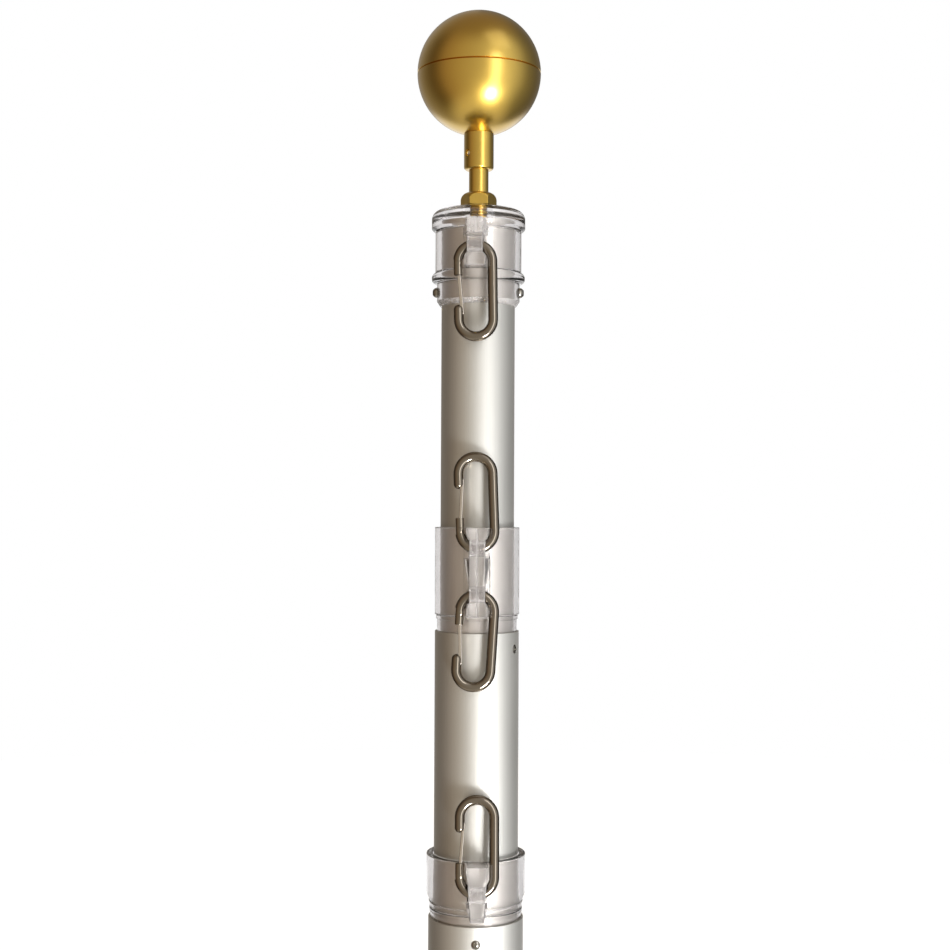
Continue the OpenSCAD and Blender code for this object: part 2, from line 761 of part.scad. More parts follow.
finial_ball_upper();
finial_ball_lower();
finial_collar();
finial_set_screw();
finial_spindle();
top_cap();
top_ring();
top_collar();
collar_screws();
top_tube();
top_guide();
middle_ring();
upper_bushing();
upper_screws();
upper_tube();
upper_guide();
lower_ring();
lower_bushing();
lower_screws();
lower_tube();
lower_guide();
base_bushing();
base_screws();
base_tube();
base_plug();
clip_1() hook();  // clip_1_hook
clip_1() rivet();  // clip_1_rivet
clip_1() gate();  // clip_1_gate
clip_2() hook();  // clip_2_hook
clip_2() rivet();  // clip_2_rivet
clip_2() gate();  // clip_2_gate
clip_3() hook();  // clip_3_hook
clip_3() rivet();  // clip_3_rivet
clip_3() gate();  // clip_3_gate
clip_4() hook();  // clip_4_hook
clip_4() rivet();  // clip_4_rivet
clip_4() gate();  // clip_4_gate
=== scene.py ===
"""The looks of a telescoping flagpole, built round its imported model.

Each operator makes one piece or one group of like pieces, from the sizes in the property groups and the
places that the frame gives. Lengths are metres, +Z is up, and the clips face -Y.
"""

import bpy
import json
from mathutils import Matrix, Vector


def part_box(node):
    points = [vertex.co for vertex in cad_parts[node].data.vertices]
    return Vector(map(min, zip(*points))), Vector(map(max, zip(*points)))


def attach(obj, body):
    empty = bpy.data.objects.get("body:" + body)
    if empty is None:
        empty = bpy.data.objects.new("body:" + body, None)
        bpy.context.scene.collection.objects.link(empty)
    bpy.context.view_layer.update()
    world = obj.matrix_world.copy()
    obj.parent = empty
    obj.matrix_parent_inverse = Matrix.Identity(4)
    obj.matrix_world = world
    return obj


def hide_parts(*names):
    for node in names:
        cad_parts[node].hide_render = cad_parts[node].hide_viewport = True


bl_info = {
    "name": "Telescoping flagpole",
    "version": (1, 0, 0),
    "blender": (4, 5, 0),
    "location": "3D View > Sidebar > Flagpole",
    "description": "Nested tubes, clear flag rings, snap clips and a ball finial",
    "category": "Mesh",
}

import json
from math import asin, atan2, cos, pi, radians, sin, sqrt, tan

import bmesh
import bpy
from bpy.props import FloatProperty, FloatVectorProperty, IntProperty, PointerProperty
from bpy.types import Operator, Panel, PropertyGroup
from mathutils import Matrix, Vector

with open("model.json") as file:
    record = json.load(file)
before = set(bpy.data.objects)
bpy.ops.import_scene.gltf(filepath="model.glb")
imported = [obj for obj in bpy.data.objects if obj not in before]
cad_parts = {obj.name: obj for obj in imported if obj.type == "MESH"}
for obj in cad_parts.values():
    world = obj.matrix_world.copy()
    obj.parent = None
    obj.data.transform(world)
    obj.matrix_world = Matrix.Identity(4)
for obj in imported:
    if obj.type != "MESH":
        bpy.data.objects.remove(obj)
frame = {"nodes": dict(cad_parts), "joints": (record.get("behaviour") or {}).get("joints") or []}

MM = 0.001
# A radius under this is a point on the axis, and points nearer than the weld's length are one.
TINY = 1e-7
WELD = 3e-6
SECTIONS = ("top", "upper", "lower", "base")
BODIES = {"top": "top_section", "upper": "upper_section", "lower": "lower_section", "base": "base"}
CLIPS = (1, 2, 3, 4)
RAISED_CLIPS = (2, 4)
# The wire's nose is rounded in these steps, to this share of its girth.
NOSE_STEPS = 8
NOSE_TIP = 0.02
# Steps round a small turned piece and round the ball, and along the arcs of the ball's shells.
TURNED_STEPS = 96
BALL_STEPS = 192
SHELL_STEPS = 64
LIP_STEPS = 56


# ---- Properties ----


def linear(code):
    """An sRGB hex colour as linear red, green and blue."""
    parts = [int(code[i : i + 2], 16) / 255 for i in (1, 3, 5)]
    return tuple(p / 12.92 if p <= 0.04045 else ((p + 0.055) / 1.055) ** 2.4 for p in parts)


def size(name, description, millimetres):
    """A length property, with its default in millimetres."""
    return FloatProperty(
        name=name, description=description, default=millimetres * MM, min=0, precision=5, unit="LENGTH"
    )


def turn(name, description, degrees):
    """An angle property, with its default in degrees."""
    return FloatProperty(name=name, description=description, default=radians(degrees), unit="ROTATION")


def colour(name, description, code):
    """A colour property, with its default as an sRGB hex colour."""
    return FloatVectorProperty(
        name=name, description=description, default=linear(code), size=3, min=0, max=1, subtype="COLOR"
    )


class TubeSizes(PropertyGroup):
    """The four nested tubes and the foot plug."""

    wall: size("Wall", "Wall of every tube", 1.6)
    gap: size("Gap", "Space between one tube and the next", 1.575)
    end_round: size("End rounding", "Rounding of a tube's deburred ends", 0.3)
    plug_round: size("Plug rounding", "Rounding of the foot plug's edges", 0.8)
    steps: IntProperty(name="Steps", description="Steps round a tube or ring", default=144, min=24)


class BushingSizes(PropertyGroup):
    """The clear bushings and their fits."""

    slide_gap: size("Slide gap", "Clearance to the tube that slides in a bushing", 0.1)
    seat_gap: size("Seat gap", "Clearance to the tube that holds a bushing", 0.05)
    neck_inset: size("Neck inset", "Step from a tube's outside in to a bushing's neck", 1.2)
    lip_height: size("Lip height", "Thickness of a bushing's lip", 2.4)
    edge_round: size("Edge rounding", "Rounding of a bushing's moulded edges", 0.4)


class RingSizes(PropertyGroup):
    """The three clear flag rings."""

    play: size("Play", "Clearance between a ring and the tube inside it", 0.4)
    bevel_height: size("Bevel height", "Height of the bevel round the foot of the lower ring", 5)
    bevel_width: size("Bevel width", "Width of the bevel round the foot of the lower ring", 2)
    ear_width: size("Ear width", "Width of the top and middle rings' ears at their fronts", 9.3)
    shoulder_width: size("Shoulder width", "Width of an ear's shoulders where they meet the ring", 15)
    shoulder_out: size("Shoulder reach", "How far the shoulders stand out from the ring", 5)
    shoulder_gap: size("Shoulder gap", "Plastic between a hole and the ear's shoulders", 1.5)
    wide_width: size("Wide ear width", "Width of the lower ring's ear at its top", 12.4)
    narrow_width: size("Narrow ear width", "Width of the lower ring's ear at its foot", 7.8)
    hole: size("Hole", "Diameter of the hole that a clip hangs in", 9.6)
    mouth_start: size("Mouth start", "Half length of a hole before its mouths widen", 4.2)
    mouth_flare: size("Mouth flare", "Widening of a hole's mouths", 1.5)
    cap_gap: size("Cap gap", "Clearance between the top ring's raised ear and the cap", 0.3)
    pad: size("Pad", "How far the face of an ear's block stands out from the rest of it", 0.4)
    skirt_height: size("Skirt height", "Height of the narrow skirt under the lower ring", 3.6)
    flare_start: size("Flare start", "Distance from a hole where the ear starts to widen", 5)
    flare_end: size("Flare end", "Distance from a hole where the ear has its full width", 7.5)
    groove: size("Groove", "Width of the mould line down the middle ring's ear", 0.7)
    edge_round: size("Edge rounding", "Rounding of a ring's moulded edges", 0.5)
    block_taper: FloatProperty(
        name="Block taper", description="Share of the top ear's shoulder width at the foot", default=0.93
    )
    waist_taper: FloatProperty(
        name="Waist taper", description="Share of the middle ear's width at the foot of its waist",
        default=1.1,
    )
    edge_frost: FloatProperty(name="Edge frost", description="Dullness of a ring's edges", default=0.45)
    ear_frost: FloatProperty(name="Ear frost", description="Dullness of an ear's faces", default=0.25)
    block_frost: FloatProperty(
        name="Block frost", description="Dullness of the block on the top ring's ear", default=0.75
    )
    lower_frost: FloatProperty(
        name="Lower ear frost", description="Dullness of the lower ring's ear", default=0.35
    )


class ClipSizes(PropertyGroup):
    """The four snap clips."""

    length: size("Length", "Length of a clip", 60)
    width: size("Width", "Width of a clip", 26)
    wire: size("Wire", "Diameter of a clip's wire", 5.8)
    hinge_stub: size("Hinge stub", "Straight stub that carries the gate", 8)
    nose_stub: size("Nose stub", "Straight stub at the nose", 8.7)
    rivet_in: size("Rivet place", "Distance from the stub's root down to the rivet", 1)
    rivet: size("Rivet", "Diameter of the rivet", 2)
    rivet_head: size("Rivet head", "Diameter of the rivet's heads", 3.2)
    rivet_rise: size("Rivet rise", "Rise of the rivet's heads above the wire", 0.4)
    gate_width: size("Gate width", "Width of the gate seen from the front", 2)
    gate_thick: size("Gate thickness", "Thickness of the gate", 2.4)
    gate_eye: size("Gate eye", "Diameter of the gate's eye at the rivet", 4.4)
    gate_lap: size("Gate lap", "Overlap of the gate's tip with the nose", 5)
    gate_inset: size("Gate inset", "How far the gate's tip lies inside the wire's middle line", 2.2)
    gate_gap: size("Gate gap", "Clearance on each side of the gate", 0.3)
    gate_round: size("Gate rounding", "Rounding of the gate's edges", 0.45)
    slot_round: size("Slot rounding", "Rounding of the edges of the wire's slots", 0.2)
    rivet_gap: size("Rivet gap", "Clearance between the rivet and the gate's eye", 0.06)
    rivet_sink: size("Rivet sink", "How far the rivet's heads reach into the wire", 0.3)
    lean: turn("Lean", "Lean of a raised clip towards the pole", 5.5)
    tilt_1: turn("Top clip tilt", "Sideways tilt of the top clip", -1)
    tilt_2: turn("Second clip tilt", "Sideways tilt of the middle ring's raised clip", -2)
    tilt_3: turn("Third clip tilt", "Sideways tilt of the middle ring's hanging clip", 3.4)
    tilt_4: turn("Lowest clip tilt", "Sideways tilt of the lower ring's clip", 0)
    steps: IntProperty(name="Steps", description="Steps round the wire", default=32, min=8)


class ScrewSizes(PropertyGroup):
    """The screws of the bushings and of the top collar."""

    head: size("Head", "Diameter of a bushing screw's head", 5.4)
    rise: size("Rise", "Rise of a bushing screw's domed head", 1)
    shank: size("Shank", "Diameter of a screw's shank", 3.2)
    drop: size("Drop", "Depth of the bushing screws below the tube end", 10)
    stand_out: size("Stand out", "How far a bushing screw's crown stands out from its tube", 0.6)
    sink: size("Sink", "How far the base tube's screws lie below its surface", 0.1)
    tip_gap: size("Tip gap", "Clearance between a screw's tip and the tube inside", 0.2)
    edge_round: size("Edge rounding", "Rounding of a screw's edges", 0.12)
    socket: size("Socket", "Width of a bushing screw's hexagon socket across its flats", 1.9)
    upper_turn: turn("Upper tube turn", "Place of the upper tube's screws round the pole", 63.5)
    lower_turn: turn("Lower tube turn", "Place of the lower tube's screws round the pole", 0)
    base_turn: turn("Base tube turn", "Place of the base tube's screws round the pole", 90)
    collar_head: size("Collar screw head", "Diameter of a collar screw's head", 6.3)
    collar_rise: size("Collar screw rise", "Rise of a collar screw's domed head", 3.2)
    collar_socket: size("Collar screw socket", "Width of a collar screw's hexagon socket", 2.5)


class CollarSizes(PropertyGroup):
    """The clear top collar."""

    body: size("Body", "Diameter of the collar's body", 50)
    body_height: size("Body height", "Height of the collar's body", 10.9)
    bevel_height: size("Bevel height", "Height of the bevel under the collar", 3)
    bevel_width: size("Bevel width", "Width of the bevel under the collar", 2)
    bevel_frost: FloatProperty(name="Bevel frost", description="Dullness of the bevel", default=0.6)
    flange_round: size("Flange rounding", "Rounding of the flange's edges", 2.5)


class CapSizes(PropertyGroup):
    """The clear cap."""

    height: size("Height", "Height of the cap above the tube's skirt", 15.8)
    skirt: size("Skirt", "Height of the cap's skirt round the tube end", 5)
    rounding: size("Rounding", "Radius of the cap's shoulder", 5.5)
    slope: turn("Slope", "Slope of the cap's top", 14)
    edge: size("Edge", "Bevel under the cap's rim", 1.5)
    flat: size("Flat", "Diameter of the flat on top of the cap", 21)
    plug_wall: size("Plug wall", "Wall of the cap's plug", 2.4)
    roof: size("Roof", "Thickness of the cap over its hollow", 17)
    boss: size("Boss", "Diameter of the boss that takes the finial's shank", 20)
    edge_round: size("Edge rounding", "Rounding of the cap's moulded edges", 0.3)


class FinialSizes(PropertyGroup):
    """The ball, its collar and set screw, and the spindle."""

    ball_wall: size("Ball wall", "Wall of the ball's two shells", 1.5)
    lip_height: size("Lip height", "Height of the inner lip that joins the shells", 5)
    lip_thick: size("Lip thickness", "Thickness of the inner lip", 1.6)
    seam: size("Seam", "Half the width of the groove between the shells", 0.45)
    seam_depth: size("Seam depth", "Depth of the groove between the shells", 1.2)
    collar: size("Collar", "Diameter of the finial's collar", 18)
    collar_round: size("Collar rounding", "Radius of the rounded foot of the collar", 2)
    collar_edge: size("Collar edge", "Rounding of the collar's upper edge", 0.2)
    spigot: size("Spigot", "Diameter of the collar's spigot in the ball", 14.2)
    stem: size("Stem", "Diameter of the stem", 11.8)
    hexagon: size("Hexagon", "Hexagon across its flats", 19)
    hexagon_height: size("Hexagon height", "Height of the hexagon", 8.1)
    hexagon_round: size("Hexagon rounding", "Radius of the hexagon's rounded top", 5)
    shank: size("Shank", "Diameter of the threaded shank", 10.8)
    shank_length: size("Shank length", "Length of the threaded shank", 22)
    pitch: size("Pitch", "Pitch of the shank's thread", 1.5)
    thread_depth: size("Thread depth", "Depth of the shank's thread", 0.7)
    ridge: size("Thread ridge", "Half thickness of the thread's ridge", 0.68)
    bar_round: size("Bar rounding", "Rounding of the spindle's edges", 0.25)
    set_screw: size("Set screw", "Diameter of the set screw", 4)
    set_screw_in: size("Set screw depth", "Depth of the set screw below the collar's surface", 0.4)
    set_screw_rise: size("Set screw rise", "Rise of the set screw's domed end", 1.2)
    set_screw_socket: size("Set screw socket", "Width of the set screw's socket across its corners", 1.4)
    set_screw_deep: size("Set screw socket depth", "Depth of the set screw's socket", 1.1)
    set_screw_edge: size("Set screw edge", "Rounding of the set screw's edges", 0.1)
    set_screw_up: size("Set screw height", "Height of the set screw above the foot of the collar", 9.7)
    set_screw_turn: turn("Set screw turn", "Place of the set screw round the collar", -51)


class Finishes(PropertyGroup):
    """The colour of each finish."""

    aluminium: colour("Aluminium", "Clear-anodised tubes", "#dcdbd7")
    gold: colour("Gold", "Gold-anodised finial", "#e4be53")
    clear: colour("Polycarbonate", "Clear rings, bushings, collar and cap", "#fbf8f8")
    steel: colour("Stainless steel", "Polished clips", "#8e8579")
    # The gates' steel is much paler than the wire's: a painted highlight, so that the thin gates show bright.
    gate: colour("Gate steel", "Gates of the clips", "#d8d0c7")
    screw: colour("Screw steel", "Bushing screws", "#99958e")
    # The set screw's near-white steel is a painted glint, so that it shows bright.
    painted_glint_steel: colour("Plated steel", "Set screw", "#efece6")
    nylon: colour("Nylon", "Guides inside the tubes", "#e4e1d9")
    polyethylene: colour("Polyethylene", "Plug in the foot", "#2c2c2e")


class StageSettings(PropertyGroup):
    """The camera, the lamps and the floor."""

    distance: size("Distance", "Camera's distance from the pole's axis", 951)
    above: size("Height", "Camera's height above the end of the upper tube", 80)
    aside: size("Offset", "Camera's place left of the pole's axis", 1.5)
    pitch: turn("Pitch", "Camera's upward pitch", 0.84)
    roll: turn("Roll", "Camera's roll", 0.25)
    lens: FloatProperty(name="Lens", description="Focal length", default=59.5, min=1, unit="CAMERA")
    key_power: FloatProperty(name="Key power", description="Power of the key light", default=14, unit="POWER")
    key_size: size("Key size", "Width of the key light", 350)
    key_reach: size("Key distance", "Distance of the key light from the rings", 1300)
    key_side: turn("Key side", "Direction of the key light, to the right of the camera", 31)
    key_rise: turn("Key rise", "Direction of the key light, above the rings", -40)
    strip_power: FloatProperty(
        name="Strip power", description="Power of the strip light", default=4.8, unit="POWER"
    )
    strip_width: size("Strip width", "Width of the strip light", 310)
    strip_height: size("Strip height", "Height of the strip light", 2200)
    strip_reach: size("Strip distance", "Distance of the strip light from the pole", 1000)
    strip_drop: size("Strip drop", "How far the strip light's middle lies below the camera", 400)
    fill_power: FloatProperty(
        name="Fill power", description="Power of the upper light", default=1.4, unit="POWER"
    )
    fill_size: size("Fill size", "Width of the upper light", 1000)
    fill_reach: size("Fill distance", "Distance of the upper light from the rings", 2000)
    fill_side: turn("Fill side", "Direction of the upper light, to the right of the camera", 45)
    fill_rise: turn("Fill rise", "Direction of the upper light, above the rings", 54)
    glow: FloatProperty(name="Glow", description="The lamps' glow as seen through clear plastic", default=2.6)
    glow_spread: turn("Glow spread", "Half width of the lamps' glow", 29)
    floor_glow: FloatProperty(name="Floor glow", description="How white the bare floor looks", default=0.85)
    plastic_share: FloatProperty(
        name="Share through plastic", description="How white the background looks through clear plastic",
        default=0.8,
    )
    floor: size("Floor", "Radius of the floor", 9000)


class Flagpole(PropertyGroup):
    """All the sizes and colours of the flagpole."""

    tubes: PointerProperty(type=TubeSizes)
    bushings: PointerProperty(type=BushingSizes)
    rings: PointerProperty(type=RingSizes)
    clips: PointerProperty(type=ClipSizes)
    screws: PointerProperty(type=ScrewSizes)
    collar: PointerProperty(type=CollarSizes)
    cap: PointerProperty(type=CapSizes)
    finial: PointerProperty(type=FinialSizes)
    finishes: PointerProperty(type=Finishes)
    stage: PointerProperty(type=StageSettings)


# ---- The frame ----


def foot(node):
    """The height of a CAD node's lowest point."""
    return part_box(node)[0].z


def head(node):
    """The height of a CAD node's highest point."""
    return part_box(node)[1].z


def outside(node):
    """The radius of a round CAD node."""
    low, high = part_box(node)
    return max(high.x, -low.x)


def joint(name):
    """The joint of that name in the frame."""
    return next(j for j in frame["joints"] if j["name"] == name)


def ring_turn(clip):
    """How far the ring that carries this clip is turned round the pole."""
    x, y, _ = joint(f"clip_{clip}_swing")["pos_m"]
    return atan2(x, -y)


def about_z(angle):
    """The matrix that turns a piece round the pole."""
    return Matrix.Rotation(angle, 4, "Z")


# ---- Nodes ----


def add(tree, kind, inputs=None, **settings):
    """Adds a node. Its settings are the node's own, and inputs are values or the sockets that feed it."""
    made = tree.nodes.new(kind)
    for name, value in settings.items():
        setattr(made, name, value)
    for socket, value in (inputs or {}).items():
        if isinstance(value, bpy.types.NodeSocket):
            tree.links.new(value, made.inputs[socket])
        else:
            made.inputs[socket].default_value = value
    return made


# ---- Meshes ----


def turned(outline, steps, closed=True):
    """A mesh turned round the Z axis from (radius, height) points, the last joined to the first if closed."""
    mesh = bmesh.new()
    angles = [2 * pi * k / steps for k in range(steps)]
    rows = []
    for radius, height in outline:
        if radius < TINY:
            rows.append([mesh.verts.new((0, 0, height))] * steps)
        else:
            rows.append([mesh.verts.new((radius * cos(a), radius * sin(a), height)) for a in angles])
    for row, other in zip(rows, rows[1:] + rows[:1] if closed else rows[1:]):
        for k in range(steps):
            after = (k + 1) % steps
            corners = list(dict.fromkeys((row[k], row[after], other[after], other[k])))
            if len(corners) > 2:
                mesh.faces.new(corners)
    bmesh.ops.recalc_face_normals(mesh, faces=mesh.faces)
    return mesh


def eased(corners, steps=4):
    """A closed outline from (x, y, rounding) corners, each rounded by an arc."""
    points = []
    for i, (x, y, rounding) in enumerate(corners):
        corner = Vector((x, y))
        if not rounding:
            points.append((x, y))
            continue
        to_last = (Vector(corners[i - 1][:2]) - corner).normalized()
        to_next = (Vector(corners[(i + 1) % len(corners)][:2]) - corner).normalized()
        half = to_last.angle(to_next) / 2
        middle = corner + (to_last + to_next).normalized() * rounding / sin(half)
        first = (corner + to_last * rounding / tan(half) - middle).normalized()
        last = (corner + to_next * rounding / tan(half) - middle).normalized()
        points += [tuple(middle + first.slerp(last, k / steps) * rounding) for k in range(steps + 1)]
    return points


def arc(x, y, radius, start, end, steps):
    """Points along an arc, from one angle to another."""
    angles = [start + (end - start) * k / steps for k in range(steps + 1)]
    return [(x + radius * cos(a), y + radius * sin(a)) for a in angles]


def hexagon(corner):
    """A hexagon's corners, this far from the origin."""
    return arc(0, 0, corner, 0, 5 * pi / 3, 5)


def lofted(sections):
    """A solid along Z through like outlines in X and Y, given as (outline, height)."""
    mesh = bmesh.new()
    rows = [[mesh.verts.new((x, y, z)) for x, y in outline] for outline, z in sections]
    mesh.faces.new(rows[0])
    mesh.faces.new(rows[-1])
    for row, other in zip(rows, rows[1:]):
        for i, corner in enumerate(row):
            after = (i + 1) % len(row)
            mesh.faces.new((corner, row[after], other[after], other[i]))
    bmesh.ops.recalc_face_normals(mesh, faces=mesh.faces)
    return mesh


def extruded(outline, low, high):
    """A prism along Z from an outline in X and Y."""
    return lofted([(outline, low), (outline, high)])


def rod(radius, low, high, steps=48):
    """A cylinder along Z."""
    return turned([(0, low), (radius, low), (radius, high), (0, high)], steps, closed=False)


def new_object(name, mesh, matrix=None):
    """A new object in the scene, from a bmesh placed by a matrix. A mirrored one's faces are turned back."""
    if matrix is not None:
        mesh.transform(matrix)
        if matrix.determinant() < 0:
            bmesh.ops.reverse_faces(mesh, faces=mesh.faces)
    data = bpy.data.meshes.new(name)
    mesh.to_mesh(data)
    mesh.free()
    made = bpy.data.objects.new(name, data)
    bpy.context.scene.collection.objects.link(made)
    return made


def combine(piece, operation, mesh, matrix=None):
    """Unites, subtracts or intersects a mesh with a piece."""
    other = new_object("tool", mesh, matrix)
    cut = piece.modifiers.new("combine", "BOOLEAN")
    cut.operation = operation
    cut.solver = "EXACT"
    cut.object = other
    settle(piece)
    bpy.data.objects.remove(other)
    weld(piece)


def weld(piece):
    """Joins the points that a cut leaves a hair apart."""
    mesh = bmesh.new()
    mesh.from_mesh(piece.data)
    bmesh.ops.remove_doubles(mesh, verts=mesh.verts, dist=WELD)
    bmesh.ops.dissolve_degenerate(mesh, edges=mesh.edges, dist=WELD)
    mesh.to_mesh(piece.data)
    mesh.free()


def settle(piece):
    """Turns a piece's modifiers into its mesh."""
    evaluated = piece.evaluated_get(bpy.context.evaluated_depsgraph_get())
    data = bpy.data.meshes.new_from_object(evaluated)
    piece.modifiers.clear()
    piece.data = data
    data.name = piece.name


def smooth(piece, bevel=0.0, limit=35, segments=3):
    """Bevels the edges of a piece that are sharper than a limit in degrees, and shades it smooth with its
    flat faces kept flat."""
    if bevel:
        edge = piece.modifiers.new("bevel", "BEVEL")
        edge.width = bevel
        edge.segments = segments
        edge.limit_method = "ANGLE"
        edge.angle_limit = radians(limit)
        edge.use_clamp_overlap = False
        edge.material = len(piece.data.materials) - 1
        edge.miter_outer = "MITER_ARC"
        settle(piece)
    data = piece.data
    data.shade_smooth()
    data.set_sharp_from_angle(angle=radians(limit))
    even = piece.modifiers.new("even", "WEIGHTED_NORMAL")
    even.keep_sharp = True
    even.weight = 50
    settle(piece)


def place(piece, body, slot, material, *nodes):
    """Gives a finished piece its material and its body, and hides the CAD nodes that it stands for."""
    piece.data.materials.clear()
    piece.data.materials.append(material)
    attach(piece, body)
    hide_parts(*nodes)


def grown(name, tree, values, source=None):
    """A plain mesh made by a geometry node tree with these input values, from a source mesh if given."""
    data = source or bpy.data.meshes.new(name)
    piece = bpy.data.objects.new(name, data)
    bpy.context.scene.collection.objects.link(piece)
    made = piece.modifiers.new("nodes", "NODES")
    made.node_group = tree
    sockets = {s.name: s.identifier for s in tree.interface.items_tree if s.in_out == "INPUT"}
    for label, value in values.items():
        made[sockets[label]] = value
    settle(piece)
    return piece


def new_tree(name, **inputs):
    """A geometry node tree with named inputs, each given as its kind of socket, and its first node."""
    tree = bpy.data.node_groups.new(name, "GeometryNodeTree")
    tree.is_modifier = True
    tree.interface.new_socket(name="Geometry", in_out="OUTPUT", socket_type="NodeSocketGeometry")
    tree.interface.new_socket(name="Geometry", in_out="INPUT", socket_type="NodeSocketGeometry")
    for label, kind in inputs.items():
        tree.interface.new_socket(name=label, in_out="INPUT", socket_type=f"NodeSocket{kind}")
    return tree, add(tree, "NodeGroupInput").outputs


def close_tree(tree, geometry, material):
    """Ends a tree: its instances made real, shaded smooth and given a material."""
    real = add(tree, "GeometryNodeRealizeInstances", {"Geometry": geometry})
    soft = add(tree, "GeometryNodeSetShadeSmooth", {"Geometry": real.outputs[0]})
    finished = add(tree, "GeometryNodeSetMaterial", {"Geometry": soft.outputs[0], "Material": material})
    add(tree, "NodeGroupOutput", {"Geometry": finished.outputs[0]})


def tube_tree():
    """A tube: its wall's outline, with rounded ends, swept round a circle."""
    tree, given = new_tree(
        "tube", Radius="Float", Wall="Float", Foot="Float", Top="Float", Rounding="Float", Steps="Int",
        Material="Material",
    )
    half_wall = add(tree, "ShaderNodeMath", {0: given["Wall"], 1: 2.0}, operation="DIVIDE")
    middle = add(tree, "ShaderNodeMath", {0: given["Radius"], 1: half_wall.outputs[0]}, operation="SUBTRACT")
    length = add(tree, "ShaderNodeMath", {0: given["Top"], 1: given["Foot"]}, operation="SUBTRACT")
    ends = add(tree, "ShaderNodeMath", {0: given["Top"], 1: given["Foot"]}, operation="ADD")
    centre = add(tree, "ShaderNodeMath", {0: ends.outputs[0], 1: 2.0}, operation="DIVIDE")
    wall = add(
        tree, "GeometryNodeCurvePrimitiveQuadrilateral", {"Width": given["Wall"], "Height": length.outputs[0]}
    )
    rounded = add(
        tree, "GeometryNodeFilletCurve",
        {"Curve": wall.outputs[0], "Radius": given["Rounding"], "Count": 3}, mode="POLY",
    )
    circle = add(
        tree, "GeometryNodeCurvePrimitiveCircle", {"Resolution": given["Steps"], "Radius": middle.outputs[0]}
    )
    swept = add(
        tree, "GeometryNodeCurveToMesh", {"Curve": circle.outputs[0], "Profile Curve": rounded.outputs[0]}
    )
    lift = add(tree, "ShaderNodeCombineXYZ", {"Z": centre.outputs[0]})
    raised = add(
        tree, "GeometryNodeTransform", {"Geometry": swept.outputs[0], "Translation": lift.outputs[0]}
    )
    close_tree(tree, raised.outputs[0], given["Material"])
    return tree


def wire_tree():
    """A bent wire: a round section swept along a path, as thick at each point as its girth says."""
    tree, given = new_tree("bent_wire", Wire="Float", Steps="Int", Material="Material")
    path = add(tree, "GeometryNodeMeshToCurve", {"Mesh": given["Geometry"]})
    radius = add(tree, "ShaderNodeMath", {0: given["Wire"], 1: 2.0}, operation="DIVIDE")
    section = add(
        tree, "GeometryNodeCurvePrimitiveCircle", {"Resolution": given["Steps"], "Radius": radius.outputs[0]}
    )
    girth = add(tree, "GeometryNodeInputNamedAttribute", {"Name": "girth"}, data_type="FLOAT")
    swept = add(
        tree, "GeometryNodeCurveToMesh",
        {
            "Curve": path.outputs[0], "Profile Curve": section.outputs[0],
            "Scale": girth.outputs[0], "Fill Caps": True,
        },
    )
    close_tree(tree, swept.outputs[0], given["Material"])
    return tree


def stud_tree():
    """A pair of like pieces on opposite sides of the pole, each facing outwards."""
    tree, given = new_tree(
        "pair_across_pole", Radius="Float", Height="Float", Turn="Float", Material="Material"
    )
    left = add(tree, "ShaderNodeMath", {0: given["Radius"], 1: -1.0}, operation="MULTIPLY")
    start = add(tree, "ShaderNodeCombineXYZ", {"Y": left.outputs[0]})
    end = add(tree, "ShaderNodeCombineXYZ", {"Y": given["Radius"]})
    ends = add(
        tree, "GeometryNodeMeshLine",
        {"Count": 2, "Start Location": start.outputs[0], "Offset": end.outputs[0]}, mode="END_POINTS",
    )
    spin = add(tree, "ShaderNodeCombineXYZ", {"Z": given["Turn"]})
    lift = add(tree, "ShaderNodeCombineXYZ", {"Z": given["Height"]})
    placed = add(
        tree, "GeometryNodeTransform",
        {"Geometry": ends.outputs[0], "Translation": lift.outputs[0], "Rotation": spin.outputs[0]},
    )
    spot = add(tree, "GeometryNodeInputPosition")
    level = add(
        tree, "ShaderNodeVectorMath", {0: spot.outputs[0], 1: (1.0, 1.0, 0.0)}, operation="MULTIPLY"
    )
    facing = add(tree, "FunctionNodeAlignRotationToVector", {"Vector": level.outputs[0]}, axis="Z")
    studs = add(
        tree, "GeometryNodeInstanceOnPoints",
        {"Points": placed.outputs[0], "Instance": given["Geometry"], "Rotation": facing.outputs[0]},
    )
    close_tree(tree, studs.outputs[0], given["Material"])
    return tree


def thread_tree():
    """The ridge of a screw thread: a small section swept along a helix."""
    tree, given = new_tree(
        "thread", Radius="Float", Length="Float", Pitch="Float", Ridge="Float", Foot="Float",
        Material="Material",
    )
    turns = add(tree, "ShaderNodeMath", {0: given["Length"], 1: given["Pitch"]}, operation="DIVIDE")
    helix = add(
        tree, "GeometryNodeCurveSpiral",
        {
            "Resolution": 32, "Rotations": turns.outputs[0], "Start Radius": given["Radius"],
            "End Radius": given["Radius"], "Height": given["Length"],
        },
    )
    section = add(tree, "GeometryNodeCurvePrimitiveCircle", {"Resolution": 6, "Radius": given["Ridge"]})
    swept = add(
        tree, "GeometryNodeCurveToMesh",
        {"Curve": helix.outputs[0], "Profile Curve": section.outputs[0], "Fill Caps": True},
    )
    lift = add(tree, "ShaderNodeCombineXYZ", {"Z": given["Foot"]})
    raised = add(
        tree, "GeometryNodeTransform", {"Geometry": swept.outputs[0], "Translation": lift.outputs[0]}
    )
    close_tree(tree, raised.outputs[0], given["Material"])
    return tree


# ---- Materials ----


def new_material(name):
    """An empty node material, with its tree and the place of each point on the object."""
    made = bpy.data.materials.new(name)
    made.use_nodes = True
    made.node_tree.nodes.clear()
    place_of = add(made.node_tree, "ShaderNodeTexCoord").outputs["Object"]
    return made, made.node_tree, place_of


def close_material(tree, **inputs):
    """Ends a material with its shader."""
    named = {name.replace("_", " "): value for name, value in inputs.items()}
    shader = add(tree, "ShaderNodeBsdfPrincipled", named)
    add(tree, "ShaderNodeOutputMaterial", {"Surface": shader.outputs[0]})


